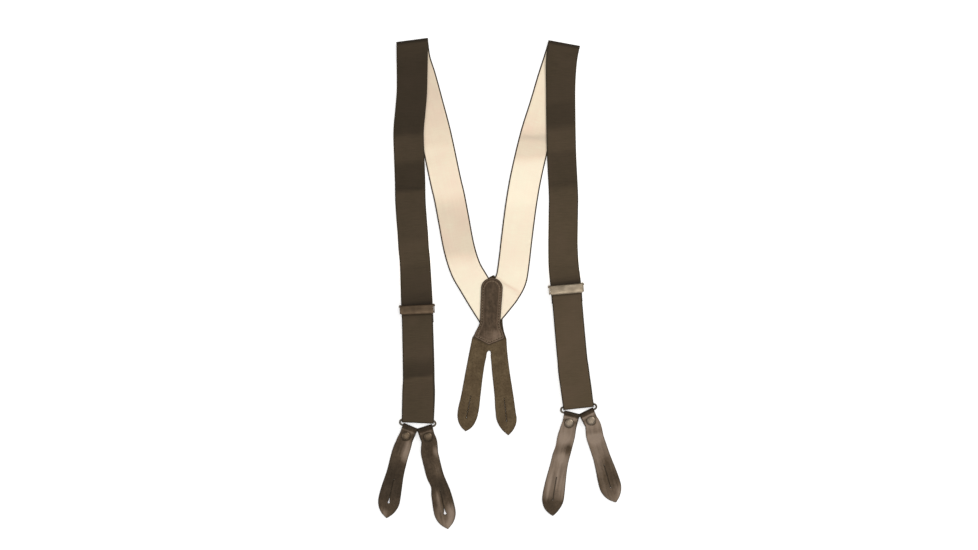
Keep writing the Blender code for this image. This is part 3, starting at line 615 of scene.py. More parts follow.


# Painted light: left and right are one plating, the left copy darker for the shade it lies in and the right
# copy lighter for the light it catches.
adjuster_metals = {
    "left": metal_material("adjuster_plating_shaded_left", shade(106, 90, 73), shade(68, 56, 43), 0.46),
    "right": metal_material("adjuster_plating_lit_right", shade(164, 150, 130), shade(124, 110, 90), 0.44),
}
# Painted light, as for the adjusters: the left lever's plating is the shaded copy and the right's the lit
# copy.
lever_metals = {
    "left": metal_material(
        "lever_plating_shaded_left", shade(100, 84, 67), shade(66, 54, 42), 0.44, 0.00003, 0.45, toned=True),
    "right": metal_material(
        "lever_plating_lit_right", shade(160, 146, 126), shade(118, 104, 85), 0.42, 0.00003, 0.45, toned=True),
}
pin_metal = metal_material("pin_plating", shade(128, 122, 112), shade(72, 66, 58), 0.42)


def bevelled(obj, width, segments=3, angle=35):
    """Breaks the sharp edges of a finished piece, width in millimetres."""
    modifier = obj.modifiers.new("broken_edges", "BEVEL")
    modifier.width = width * 0.001
    modifier.segments = segments
    modifier.profile = 0.5
    modifier.material = -1
    modifier.limit_method = "ANGLE"
    modifier.angle_limit = math.radians(angle)
    modifier.use_clamp_overlap = False
    modifier.harden_normals = True
    return obj


def solid_copy(cad_node):
    """The node's triangles as one closed mesh, with its flat faces whole again."""
    mesh = bmesh.new()
    mesh.from_mesh(frame["nodes"][cad_node].data)
    bmesh.ops.remove_doubles(mesh, verts=mesh.verts, dist=2e-6)
    bmesh.ops.dissolve_limit(mesh, angle_limit=math.radians(2), verts=mesh.verts, edges=mesh.edges)
    shade_smooth(mesh)
    return mesh


def turned(name, profile, steps, place, material):
    """A profile of (radius, height) in millimetres, turned once round its axis."""
    mesh = bmesh.new()
    line = [mesh.verts.new((radius * 0.001, 0, height * 0.001)) for radius, height in profile]
    edges = [mesh.edges.new(pair) for pair in zip(line, line[1:])]
    bmesh.ops.spin(
        mesh, geom=line + edges, cent=(0, 0, 0), axis=(0, 0, 1), dvec=(0, 0, 0),
        angle=2 * math.pi, steps=steps, use_merge=True)
    bmesh.ops.remove_doubles(mesh, verts=mesh.verts, dist=1e-6)
    bmesh.ops.recalc_face_normals(mesh, faces=mesh.faces)
    shade_smooth(mesh)
    for edge in mesh.edges:
        if edge.is_manifold and edge.calc_face_angle() > math.radians(40):
            edge.smooth = False
    bmesh.ops.transform(mesh, matrix=place, verts=mesh.verts)
    return new_piece(name, mesh, [material])


for side in STRAPS:
    middle, along, up = adjuster_frame(side)
    turn = Matrix.Rotation(math.atan2(along.y, along.x), 4, "Z")
    at_pin = Matrix.Translation(mm(middle)) @ turn @ Matrix.Translation(mm((0, PIN_Y, PIN_HEIGHT)))
    body = side + "_adjuster"

    mesh = solid_copy(side + "_adjuster_frame")
    piece = new_piece(side + "_adjuster_body", mesh, [adjuster_metals[side]])
    bevelled(piece, 0.28)
    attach(piece, body)
    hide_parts(side + "_adjuster_frame")

    # Pin: a straight shaft with a domed head outside each cheek.
    head = [(0, 21.95), (0.5, 21.9), (0.9, 21.72), (1.15, 21.4), (1.2, 21.1), (1.2, 21.05)]
    profile = head + [(0.65, 21.05), (0.65, 0)]
    profile += [(radius, -height) for radius, height in reversed(profile[:-1])]
    place = at_pin @ Matrix.Rotation(math.pi / 2, 4, "Y")
    piece = turned(side + "_adjuster_axle", profile, 32, place, pin_metal)
    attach(piece, body)
    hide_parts(side + "_adjuster_pin")

    # Lever: one end view, drawn in (along the strap, height) and pulled out along the pin. Its
    # free edge is turned down to a thumb lip and the plate is slightly crowned.
    end_view = [(-10.1, 0.05), (-10.05, 0.45), (-9.7, 0.8), (-8.8, 1.1), (-7.4, 1.3), (-5.6, 1.42),
                (-3.6, 1.5), (-1.8, 1.53), (0, LEVER_BARREL)]
    for i in range(1, 19):
        angle = math.pi / 2 - i * math.radians(250) / 18
        end_view.append((LEVER_BARREL * math.cos(angle), LEVER_BARREL * math.sin(angle)))
    end_view += [(-2.4, 0.65), (-4.0, 0.62), (-6.0, 0.5), (-7.6, 0.36), (-8.8, 0.15), (-9.5, -0.08),
                 (-9.85, -0.12)]
    mesh = bmesh.new()
    rim = [mesh.verts.new(mm((-LEVER_HALF, y, z))) for y, z in end_view]
    cap = mesh.faces.new(rim)
    slices = 12
    for _ in range(slices):
        grown = bmesh.ops.extrude_face_region(mesh, geom=[cap])["geom"]
        mesh.faces.remove(cap)
        cap = next(item for item in grown if isinstance(item, bmesh.types.BMFace))
        bmesh.ops.translate(mesh, verts=cap.verts, vec=mm((2 * LEVER_HALF / slices, 0, 0)))
    # The plate's two free corners are rounded off in plan, and its middle stands a little proud. The lip
    # carries a painted highlight, and painted shade darkens the plate towards its left end.
    tone = mesh.verts.layers.float.new("tone")
    for v in mesh.verts:
        v[tone] = 0.80 + 0.55 * smooth((-v.co.y * 1000 - 4) / 5) + 0.12 * v.co.x * 1000 / LEVER_HALF
        end = abs(v.co.x) * 1000 / LEVER_HALF
        if v.co.y < -0.0075 and end > 0.99:
            v.co.x *= 1 - 0.035 * smooth((-v.co.y * 1000 - 7.5) / 2.6)
        if v.co.y < -0.002:
            v.co.z += 0.00016 * (1 - end * end) * smooth((-v.co.y * 1000 - 2) / 5)
    shade_smooth(mesh)
    bmesh.ops.recalc_face_normals(mesh, faces=mesh.faces)
    bmesh.ops.transform(mesh, matrix=at_pin, verts=mesh.verts)
    piece = bevelled(new_piece(side + "_lever_plate", mesh, [lever_metals[side]]), 0.22, 3, 50)
    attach(piece, side + "_lever")
    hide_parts(side + "_adjuster_lever")

# ------------------------------------------------------------------ wire rings
# A ring of round steel wire bent to a flat-topped V. Its bar carries the strap's loop, and each
# sloping side carries a leather tab.
WIRE_RADIUS = 1.15
RING_HALF_BAR = 18.3
RING_CORNER = 3.1
RING_SLOPE = math.radians(20)
ring_metal = metal_material("ring_plating", shade(112, 104, 92), shade(58, 50, 40), 0.42)


def curve_as_mesh(name, curve):
    """The shape of a curve as a bmesh. The curve's own object is taken away again."""
    line = add_object(name, curve)
    bpy.context.view_layer.update()
    mesh = bmesh.new()
    evaluated = line.evaluated_get(bpy.context.evaluated_depsgraph_get())
    mesh.from_mesh(bpy.data.meshes.new_from_object(evaluated))
    bpy.data.objects.remove(line)
    bmesh.ops.remove_doubles(mesh, verts=mesh.verts, dist=1e-6)
    return mesh


for side in STRAPS:
    centre, along, up = ring_frame(side)
    outline = []
    for step in range(17):
        angle = math.pi / 2 - step * (math.pi - RING_SLOPE) / 16
        outline.append((
            RING_HALF_BAR + RING_CORNER * math.cos(angle), -RING_CORNER + RING_CORNER * math.sin(angle)))
    end_x, end_y = outline[-1]
    apex_y = end_y - end_x * math.tan(RING_SLOPE)
    for step in range(5):
        x = 2.4 * (1 - step / 4)
        outline.append((x, apex_y + x * math.tan(RING_SLOPE) + 0.35 * (1 - x / 2.4) ** 2))
    outline += [(-x, y) for x, y in reversed(outline[:-1])]
    wire = bpy.data.curves.new(side + "_ring_line", "CURVE")
    wire.dimensions = "3D"
    spline = wire.splines.new("POLY")
    spline.points.add(len(outline) - 1)
    for target, (x, y) in zip(spline.points, outline):
        target.co = (*mm(centre + along * x + up * y), 1)
    spline.use_cyclic_u = True
    wire.bevel_depth = WIRE_RADIUS * 0.001
    wire.bevel_resolution = 6
    mesh = curve_as_mesh(side + "_ring_line", wire)
    bmesh.ops.recalc_face_normals(mesh, faces=mesh.faces)
    shade_smooth(mesh)
    piece = new_piece(side + "_ring_wire", mesh, [ring_metal])
    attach(piece, side + "_ring")
    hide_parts(side + "_ring")

# ------------------------------------------------------------------ leather tabs
# Four tabs of brown bridle leather, 1.6 mm thick. Each wraps a sloping side of the ring, closes
# on itself under a rivet, and ends in a pointed paddle with a keyhole buttonhole.
TAB_THICK = 1.6
TAB_ROLL = 2.25
TAB_FLAP = 15.5
FLAP_HEIGHT = 1.75
FRONT_HEIGHT = 4.05
RING_HEIGHT = 3.1
RIVET_DOWN = 10.5
RIVET_HOLE = 1.8
BUTTONHOLE = 28.0
TIP_TO_KEYHOLE = 19.0
TAB_SHANK = 8.9
TAB_PADDLE = 13.1
TAB_TIP = 22.0
HAIRLINE = 0.28
ROW_GAP = 0.22
TAB_COLUMNS = [0.0, 0.16, 0.36, 0.56, 0.74, 0.87, 0.95, 1.0]

# route: (x, y, height of the leather's middle); slit: half of its opening; keyhole: its radius;
# tones: (share of the way from ring to tip, painted light and shade: a painted shadow on the roll over
# the wire, a painted highlight just below it and a painted sheen down the tab); cup: how far the edges
# stand up; pinch: a nick worn into the left edge (share of the way, depth); gleams: painted highlights
# and painted shades (share of the way, place across, length, width, strength).
TABS = {
    "left_outer": {
        "route": [(-114.4, -192, 3.7), (-117.8, -202, 2.4), (-120.6, -212, 1.3), (-125.3, -231, 0.8),
                  (-129.8, -250, 0.8), (-133.0, -267, 0.8), (-134.9, -281.3, 0.8)],
        "slit": 0.015, "keyhole": 1.1, "cup": 0.5, "pinch": (0.5, 0.0), "apex_side": 1,
        "tones": [(1.0, 1.2), (0.86, 0.95), (0.72, 0.56), (0.46, 0.54), (0.30, 1.0), (0.14, 1.05),
                  (0.06, 0.85), (0.036, 1.5), (0.024, 1.3), (0.012, 0.45), (0.0, 0.42)],
        "gleams": [(0.24, 0.6, 0.13, 0.5, 1.15), (0.40, 0.7, 0.12, 0.3, 0.35), (0.95, -0.4, 0.05, 0.5, 0.5),
                   (0.66, 0.15, 0.12, 0.12, 0.3)],
    },
    "left_inner": {
        "route": [(-83.4, -202, 2.6), (-81.4, -212, 1.4), (-76.6, -231, 0.8),
                  (-70.2, -250, 0.8), (-66.0, -269, 0.8), (-61.3, -294.3, 0.8)],
        "slit": 0.02, "keyhole": 1.5, "cup": 1.2, "pinch": (0.56, 1.9), "apex_side": -1,
        "tones": [(1.0, 1.7), (0.84, 1.3), (0.70, 0.9), (0.56, 0.55), (0.48, 0.85), (0.36, 0.85),
                  (0.14, 0.85), (0.06, 0.85), (0.036, 1.5), (0.024, 1.3), (0.012, 0.45), (0.0, 0.42)],
        "gleams": [(0.24, 0.75, 0.07, 0.3, 1.5), (0.43, 0.5, 0.06, 0.4, 0.6),
                   (0.68, -0.35, 0.1, 0.16, 1.1), (0.62, 0.25, 0.09, 0.22, -0.4),
                   (0.86, 0.6, 0.09, 0.3, 0.9), (0.96, 0.3, 0.04, 0.5, 0.5)],
    },
    "right_inner": {
        "route": [(81.4, -180, 3.7), (78.2, -192.5, 2.4), (75.8, -202, 1.4), (73.2, -212, 0.9),
                  (69.2, -231, 0.8), (65.9, -250, 0.8), (64.0, -265, 0.8), (64.4, -278.6, 0.8)],
        "slit": 0.015, "keyhole": 0.3, "cup": 0.4, "pinch": (0.33, 0.9), "apex_side": 1,
        "tones": [(1.0, 0.9), (0.88, 0.95), (0.80, 1.5), (0.66, 1.8), (0.45, 1.9), (0.36, 1.6), (0.25, 2.1),
                  (0.12, 1.9), (0.06, 1.2), (0.036, 2.4), (0.024, 2.0), (0.012, 0.45), (0.0, 0.42)],
        "gleams": [(0.24, -0.1, 0.05, 0.4, 0.5), (0.33, 0.6, 0.05, 0.4, -0.5), (0.43, 0.1, 0.05, 0.4, 0.55),
                   (0.72, -0.55, 0.13, 0.14, 0.5), (0.62, 0.1, 0.1, 0.1, 0.5), (0.72, 0.75, 0.1, 0.2, 0.3)],
    },
    "right_outer": {
        "route": [(114.8, -183, 2.8), (118, -193, 1.7), (121.4, -203, 1.0),
                  (127.4, -222, 0.8), (133.8, -244, 0.8), (140.2, -262.4, 0.8)],
        "slit": 0.015, "keyhole": 0.3, "cup": 0.4, "pinch": (0.5, 0.0), "apex_side": -1,
        "tones": [(1.0, 1.8), (0.88, 1.35), (0.74, 1.15), (0.60, 1.4), (0.38, 1.8), (0.26, 2.4),
                  (0.22, 1.75), (0.12, 2.2), (0.06, 1.2), (0.036, 2.4), (0.024, 2.0), (0.012, 0.45),
                  (0.0, 0.42)],
        "gleams": [(0.31, 0.1, 0.05, 0.5, 0.35), (0.62, 0.35, 0.12, 0.4, -0.3),
                   (0.90, 0.8, 0.05, 0.25, 0.6), (0.55, -0.6, 0.1, 0.3, 0.25)],
    },
}


def leather_material(name, ground, light, dark, painted_sheen, roughness, grain=1.0, fuzzy=0.0, rivet=False):
    """Leather by its grain, clouds and darker edges, with painted light and shade from its tone and a
    painted sheen where the tone runs high. rim is millimetres from an edge.
    """
    made, tree, shader = finish_of(
        name, roughness, Sheen_Weight=fuzzy, Sheen_Roughness=0.6,
        Specular_IOR_Level=0.12 if fuzzy else 0.24, Specular_Tint=(0.92, 0.74, 0.55, 1.0))
    place = node(tree, "TexCoord", out=3)
    cloud = node(tree, "TexNoise", place, None, 75.0, 4.0, 0.6)
    mottle = node(tree, "TexNoise", place, None, 420.0, 3.0, 0.65)
    cells = node(tree, "TexVoronoi", place, None, 1300.0, feature="SMOOTH_F1")
    creased = node(tree, "Mapping", place, None, None, (300.0, 120.0, 300.0))
    wrinkles = node(tree, "TexNoise", creased, None, 1.0, 3.0, 0.5, None, None, None, 0.8)
    colour = mix(tree, spread_out(tree, cloud, 0.38, 0.66), ground, light)
    colour = mix(tree, spread_out(tree, mottle, 0.46, 0.72, 0.0, 0.55), colour, dark)
    colour = mix(tree, spread_out(tree, cells, 0.35, 0.8, 0.0, 0.30), colour, dark)
    fibres = node(tree, "UVMap", uv_map="hide") if rivet else place
    drawn_out = node(tree, "Mapping", fibres, None, None, (330.0, 22.0, 22.0))
    streak = node(tree, "TexNoise", drawn_out, None, 1.0, 3.0, 0.55)
    tone = node(tree, "Attribute", out=2, attribute_name="tone")
    streaked = spread_out(tree, streak, 0.3, 0.7, 1 - 0.15 * grain, 1 + 0.15 * grain)
    tone = math_node(tree, "MULTIPLY", tone, streaked)
    # Painted shade: a dark ring round each rivet dome, for the shadow where the dome meets the leather.
    if rivet:
        from_rivet = node(tree, "VectorMath", fibres, out=1, operation="LENGTH")
        tone = math_node(tree, "MULTIPLY", tone, spread_out(tree, from_rivet, 0.0050, 0.0066, 0.42, 1.0))
    colour = times(tree, colour, tone)
    # Where the tone runs high it mixes towards a painted sheen.
    colour = mix(tree, spread_out(tree, tone, 1.1, 2.4, 0.0, 0.75), colour, painted_sheen)
    # Darker edges: burnished on the tabs, and painted shade along the edges of the back patch's leathers.
    rim = node(tree, "Attribute", out=2, attribute_name="rim")
    colour = mix(tree, spread_out(tree, rim, 0.15, 1.3, 0.85, 0.0), colour, dark)
    tree.links.new(colour, shader.inputs["Base Color"])
    polished = spread_out(tree, cloud, 0.3, 0.7, roughness + 0.08, roughness - 0.08)
    tree.links.new(polished, shader.inputs["Roughness"])
    uneven = math_node(tree, "MULTIPLY_ADD", wrinkles, 1.2, mottle)
    height = math_node(tree, "MULTIPLY_ADD", cells, 0.5 * grain, uneven)
    tree.links.new(bump(tree, height, 0.45, 0.00030), shader.inputs["Normal"])
    return made


tab_leather = leather_material(
    "tab_leather_finish", shade(70, 57, 44), shade(84, 69, 54), shade(34, 27, 19),
    shade(160, 142, 127), 0.42, rivet=True)


def thickened(piece, thickness):
    """Gives a sheet of leather its thickness, half to each side."""
    modifier = piece.modifiers.new("thickness", "SOLIDIFY")
    modifier.thickness = thickness * 0.001
    modifier.offset = 0
    return modifier


def tab_half_width(length):
    """Half width along a tab: narrow on the wire, a straight shank, a paddle and a pointed tip."""
    paddle, tip = TAB_PADDLE, TAB_TIP
    arc = (paddle**2 + tip**2) / (2 * paddle)

    def half(run):
        to_tip = length - run
        if to_tip < tip:
            return max(0.5, math.sqrt(arc**2 - (tip - to_tip) ** 2) - (arc - paddle))
        shank = TAB_SHANK + 1.5 * smooth((run - 6) / 24)
        return shank + (paddle - shank) * smooth((run - length * 0.45) / (length * 0.55 - tip))

    return half


for name, tab in TABS.items():
    hinge = joints[name + "_tab_hinge"]
    place, along_wire = Vector(hinge["pos_m"]) * 1000, -Vector(hinge["axis"])
    up, lift = Vector((-along_wire.y, along_wire.x, 0)), Vector((0, 0, 1))

    # The path of the leather's middle: up the flap behind, over the wire and down the front.
    flap_lift, front_lift = lift * (FLAP_HEIGHT - RING_HEIGHT), lift * (FRONT_HEIGHT - RING_HEIGHT)
    flap = curve_through(
        [place - up * TAB_FLAP + flap_lift, place - up * RIVET_DOWN + flap_lift,
         place - up * 5.2 + flap_lift, place - lift * TAB_ROLL], 1.0)
    over = turn_points(place, up, TAB_ROLL, -math.pi / 2, math.pi / 2, 14)
    front = curve_through(
        [over[-1], place - up * 4.6 + front_lift, place - up * RIVET_DOWN + front_lift,
         place - up * 16.2 + front_lift - lift * 0.1] + tab["route"], 1.0)
    flap_length, front_length = runs_along(flap)[-1], runs_along(front)[-1]
    turn_length = runs_along(over)[-1]
    half_of = tab_half_width(front_length)
    flap_rungs = []
    for run in runs_along(flap):
        from_wire = flap_length - run
        corner = 1 - smooth((3 - run) / 3) * 0.35
        flap_rungs.append(along_wire * (TAB_SHANK - 1.2 * smooth(from_wire / 5)) * corner)
    line = flap + over[1:-1] + front
    rungs = flap_rungs + [along_wire * TAB_SHANK] * (len(over) - 2)
    rungs += rungs_of(front, half_of, along_wire, 14.0)
    runs = runs_along(line)
    wire_run = flap_length + turn_length
    total = runs[-1]

    def at(run):
        """Middle and half rung at a distance along the leather."""
        run = min(max(run, 0.0), total)
        i = max(1, next((k for k, r in enumerate(runs) if r >= run - 1e-9), len(runs) - 1))
        share = (run - runs[i - 1]) / max(1e-9, runs[i] - runs[i - 1])
        return line[i - 1].lerp(line[i], share), rungs[i - 1].lerp(rungs[i], share)

    rivet = place - up * RIVET_DOWN
    flap_rivet = min(runs[:len(flap)], key=lambda r: (at(r)[0].xy - rivet.xy).length)
    front_rivet = min(runs[-len(front):], key=lambda r: (at(r)[0].xy - rivet.xy).length)
    keyhole, slit_top = total - TIP_TO_KEYHOLE, total - TIP_TO_KEYHOLE - BUTTONHOLE
    holes = ((flap_rivet, RIVET_HOLE), (front_rivet, RIVET_HOLE), (keyhole, tab["keyhole"]))

    def opening(run):
        """Half width of whatever is cut through the middle of the leather."""
        found = tab["slit"] if slit_top < run < keyhole else HAIRLINE
        for spot, radius in holes:
            if abs(run - spot) < radius:
                found = max(found, math.sqrt(radius**2 - (run - spot) ** 2))
        if slit_top < run < keyhole:
            teardrop = (tab["keyhole"] - HAIRLINE) * 0.75 * smooth(1 - (keyhole - run) / 6.5)
            found = max(found, teardrop)
        return found

    cuts = [(flap_rivet - RIVET_HOLE, flap_rivet + RIVET_HOLE),
            (front_rivet - RIVET_HOLE, front_rivet + RIVET_HOLE), (slit_top, keyhole + tab["keyhole"])]
    wanted = [total * i / round(total / 1.9) for i in range(round(total / 1.9) + 1)]
    wanted += [wire_run - turn_length * i / 12 for i in range(13)]
    for spot, radius in holes:
        wanted += [spot + radius * math.cos(math.radians(20 * i)) for i in range(10)]
    fixed = [edge for cut in cuts for edge in cut] + [slit_top + 0.15]
    places = [0.0]
    for run in sorted(wanted):
        apart = min(run - places[-1], total - run) > ROW_GAP
        if apart and all(abs(run - edge) > 0.12 for edge in fixed):
            places.append(run)
    places = sorted(places + fixed + [total])

    columns, rows, inner = 2 * len(TAB_COLUMNS) - 1, len(places) - 1, len(TAB_COLUMNS)
    mesh = bmesh.new()
    tone, rim = mesh.verts.layers.float.new("tone"), mesh.verts.layers.float.new("rim")
    hide = mesh.loops.layers.uv.new("hide")
    bmesh.ops.create_grid(mesh, x_segments=columns, y_segments=rows, size=1.0)
    gone, spread = [], {}
    for face in mesh.faces:
        face.smooth = True
        spots = [grid_place(v, columns, rows) for v in face.verts]
        low, high = places[min(r for _, r in spots)], places[max(r for _, r in spots)]
        cut_out = any(a - 1e-6 <= low and high <= b + 1e-6 for a, b in cuts)
        if cut_out and min(c for c, _ in spots) == inner - 1:
            gone.append(face)
    for v in mesh.verts:
        column, row = grid_place(v, columns, rows)
        run = places[row]
        centre, rung = at(run)
        sign = -1 if column < inner else 1
        share = TAB_COLUMNS[inner - 1 - column if column < inner else column - inner]
        hole = min(opening(run), rung.length * 0.8)
        off = hole + (rung.length - hole) * share
        through = (run - wire_run) / front_length
        pinch_at, pinch_depth = tab["pinch"]
        if sign < 0:
            off -= pinch_depth * share**2 * math.exp(-(((through - pinch_at) / 0.055) ** 2))
        from_wire = run - wire_run
        if sign == tab["apex_side"]:
            off += 1.0 * share * smooth((from_wire + 7) / 3) * smooth((24 - from_wire) / 20)
        else:
            off -= 0.6 * share * math.exp(-(((from_wire - 11) / 8) ** 2))
        spread[v] = (sign * off * 0.001, (run - front_rivet) * 0.001)
        point = centre + rung.normalized() * sign * off
        down_front = smooth((run - front_rivet - 12) / 20)
        edge_up = tab["cup"] * share**2 * smooth((run - slit_top + 10) / 14) * smooth((total - run) / 10)
        by_slit = smooth((run - slit_top) / 8) * smooth((keyhole + 4 - run) / 8)
        curl = 0.45 * tab["cup"] * (1 - share) ** 3 * by_slit
        ripple = 0.22 + 0.30 * noise.noise(point / 11.0) + 0.10 * noise.noise(point / 3.5)
        v.co = mm(point + lift * (edge_up + curl + max(0.0, ripple)) * down_front)
        # Painted light and shade along the tab, with painted highlights and painted shades in patches.
        v[tone] = between(tab["tones"], min(1.0, max(0.0, through)))
        for at_run, at_across, length, width, strength in tab["gleams"]:
            apart = ((through - at_run) / length) ** 2
            apart += ((sign * off / rung.length - at_across) / width) ** 2
            v[tone] *= 1 + strength * math.exp(-apart)
        cut_here = any(a <= run <= b for a, b in cuts)
        v[rim] = min(rung.length - off, total - run, run, off - hole if cut_here else 9.0)
    for face in mesh.faces:
        for loop in face.loops:
            loop[hide].uv = spread[loop.vert]
    bmesh.ops.delete(mesh, geom=gone, context="FACES")
    piece = new_piece(name + "_leather_tab", mesh, [tab_leather])
    thickened(piece, TAB_THICK)
    bevelled(piece, 0.24, 3, 50)
    body = name + "_tab"
    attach(piece, body)
    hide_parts(name + "_tab")
    tab["rivet_at"] = rivet

# ------------------------------------------------------------------ rivets
# Tubular rivets of antiqued brass. The domed cap's post goes through both layers of a tab, and
# the flat foot closes inside it from behind.
RIVET_CAP = 5.2
RIVET_SEAT = FRONT_HEIGHT + TAB_THICK / 2 + 0.25
# Painted light: the rivets share one plating, the left copy darker for the shade it lies in and the right
# copy lighter for the light it catches.
rivet_metals = {
    "left": metal_material("rivet_plating_shaded_left", shade(112, 97, 80), shade(76, 63, 49), 0.36),
    "right": metal_material("rivet_plating_lit_right", shade(158, 144, 127), shade(112, 98, 82), 0.38),
}

for name, tab in TABS.items():
    rivet_metal = rivet_metals[name.split("_")[0]]
    place = Matrix.Translation(mm((tab["rivet_at"].x, tab["rivet_at"].y, 0)))
    cap = [(0, RIVET_SEAT + 1.9)]
    for i in range(1, 13):
        angle = math.radians(90 - 6.5 * i)
        cap.append((RIVET_CAP * math.cos(angle) / math.cos(math.radians(12)),
                    RIVET_SEAT + 0.35 + 1.55 * math.sin(angle)))
    cap += [(RIVET_CAP, RIVET_SEAT + 0.45), (RIVET_CAP, RIVET_SEAT + 0.25),
            (RIVET_CAP - 0.12, RIVET_SEAT + 0.06), (RIVET_CAP - 0.4, RIVET_SEAT),
            (1.5, RIVET_SEAT), (1.5, 1.1), (1.05, 1.1), (1.05, 3.4), (0, 3.4)]
    piece = turned(name + "_rivet_dome", cap, 40, place, rivet_metal)
    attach(piece, name + "_tab")
    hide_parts(name + "_rivet_cap")
    foot = [(0, 3.0), (0.5, 2.97), (0.7, 2.8), (0.7, 0.6), (4.1, 0.6), (4.4, 0.5), (4.5, 0.32), (4.4, 0.14),
            (4.1, 0.04), (1.6, 0.04), (1.3, 0.22), (0, 0.26)]
    piece = turned(name + "_rivet_foot", foot, 40, place, rivet_metal)
    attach(piece, name + "_tab")
    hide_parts(name + "_rivet_base")

# ------------------------------------------------------------------ back patch
# The fork is one piece of leather, flesh side up, cut to a tongue and two buttonholed legs. A
# smooth padded lining is sewn over the tongue and holds both strap ends between them.
FORK_THICK = 1.8
LINING_THICK = 1.3
SEAM_IN = 2.6
LINING_HIGH = PATCH_WEB + WEB_THICK / 2 + 0.3 + LINING_THICK / 2
LINING_LOW = FORK_THICK + 0.3 + LINING_THICK / 2
# From the tip of the tongue down its left side and round both legs, and which of these are corners.
FORK_OUTLINE = [
    (-6.8, 10.2), (-12.6, 6.9), (-18.9, 1.2), (-21.6, -7), (-22.2, -25), (-22.9, -44),
    (-25.8, -54.5), (-32.1, -64.8), (-34.6, -77), (-40.2, -106), (-45.6, -135), (-49.6, -154),
    (-49.4, -163), (-45.8, -171.6), (-40.1, -177.4), (-32.8, -172.6), (-27.4, -164), (-24.6, -154),
    (-22.2, -135), (-18.6, -106), (-15.4, -89), (-12.8, -81), (-11, -81), (-10, -88), (-8.4, -106),
    (-5.4, -135), (-4.2, -154), (-2.4, -165), (3, -174.6), (11.3, -182.3), (17.8, -174.6),
    (21.2, -164), (20, -154), (17.4, -135), (12.9, -106), (9.8, -80), (9, -66.4), (5.6, -55.5),
    (4.3, -44), (4.8, -25), (5, -7), (2.2, 1.6), (-3.2, 7.0),
]
FORK_CORNERS = (0, 7, 14, 29, 36)
# Insets towards the middle, deepest first so that none crosses another, and the grid laid over
# the leather. The cut edges are thinned over EDGE_ROUNDING, down to 1 - EDGE_THINNED.
FORK_INSETS = (1.3, 0.42, 0.14)
FORK_GRID = 4
EDGE_ROUNDING = 0.45
EDGE_THINNED = 0.4
FORK_HOLE = 0.22
FORK_SLIT_HALF = 0.02
FORK_SLITS = [((-39.2, -161.5), (-33.6, -134.0)), ((9.2, -165.5), (6.2, -137.0))]

line = bpy.data.curves.new("fork_line", "CURVE")
line.dimensions = "2D"
line.fill_mode = "NONE"
line.resolution_u = 8
spline = line.splines.new("BEZIER")
spline.bezier_points.add(len(FORK_OUTLINE) - 1)
for i, (x, y) in enumerate(FORK_OUTLINE):
    target = spline.bezier_points[i]
    target.co = mm((x, y, 0))
    target.handle_left_type = target.handle_right_type = "VECTOR" if i in FORK_CORNERS else "AUTO"
spline.use_cyclic_u = True
for keyhole, top in FORK_SLITS:
    keyhole, top = Vector((*keyhole, 0)), Vector((*top, 0))
    along = (top - keyhole).normalized()
    aside = Vector((along.y, -along.x, 0))
    round_end = [
        keyhole + FORK_HOLE * (aside * math.cos(a) - along * math.sin(a))
        for a in [math.radians(-50 + 280 * i / 14) for i in range(15)]]
    in_slit = [keyhole + along * 2, keyhole + along * 14, top - along * 1.2]
    slit_points = round_end + [p - aside * FORK_SLIT_HALF for p in in_slit] + [top]
    slit_points += [p + aside * FORK_SLIT_HALF for p in reversed(in_slit)]
    spline = line.splines.new("POLY")
    spline.points.add(len(slit_points) - 1)
    for target, point in zip(spline.points, slit_points):
        target.co = (*mm(point), 1)
    spline.use_cyclic_u = True
mesh = curve_as_mesh("fork_line", line)
border = [(edge.verts[0].co * 1000, edge.verts[1].co * 1000) for edge in mesh.edges]
bmesh.ops.triangle_fill(mesh, use_beauty=True, use_dissolve=False, edges=mesh.edges, normal=(0, 0, 1))
for depth in FORK_INSETS:
    bmesh.ops.inset_region(
        mesh, faces=mesh.faces, use_boundary=True, use_even_offset=False, thickness=depth * 0.001, depth=0)
for x in range(-48, 22, FORK_GRID):
    cut_across(mesh, (x, 0, 0), (1, 0, 0))
for y in range(-180, 10, FORK_GRID):
    cut_across(mesh, (0, y, 0), (0, 1, 0))
bmesh.ops.remove_doubles(mesh, verts=mesh.verts, dist=2e-5)
tone, rim = mesh.verts.layers.float.new("tone"), mesh.verts.layers.float.new("rim")
for v in mesh.verts:
    point = v.co * 1000
    nearest = 9.0
    for a, b in border:
        edge = b - a
        share = min(1.0, max(0.0, (point - a).dot(edge) / max(1e-9, edge.length_squared)))
        nearest = min(nearest, (point - a - edge * share).length)
    leg = smooth((-70 - point.y) / 30)
    wave = 0.15 + 0.45 * noise.noise(point / 26.0) + 0.12 * noise.noise(point / 7.0)
    v.co = mm((point.x, point.y, FORK_THICK / 2 + leg * max(0.0, wave)))
    v[rim] = nearest
    # Painted shade darkens the tongue, where its border shows round the lining.
    v[tone] = 0.45 + 0.55 * smooth((-60 - point.y) / 8)
bmesh.ops.recalc_face_normals(mesh, faces=mesh.faces)
if sum(face.normal.z for face in mesh.faces) < 0:
    bmesh.ops.reverse_faces(mesh, faces=mesh.faces)
shade_smooth(mesh)
suede = leather_material(
    "fork_suede", shade(95, 79, 58), shade(111, 94, 70), shade(58, 46, 31), shade(134, 116, 90),
    0.85, 0.4, 0.05)
piece = new_piece("back_fork_leather", mesh, [suede])
solidify = thickened(piece, FORK_THICK)
edge_share = piece.vertex_groups.new(name="edge_share")
for vertex, distance in zip(piece.data.vertices, piece.data.attributes["rim"].data):
    inward = 1 - min(1.0, distance.value / EDGE_ROUNDING)
    edge_share.add([vertex.index], 1 - EDGE_THINNED * inward**2, "REPLACE")
solidify.vertex_group = "edge_share"
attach(piece, "back")
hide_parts("back_fork")


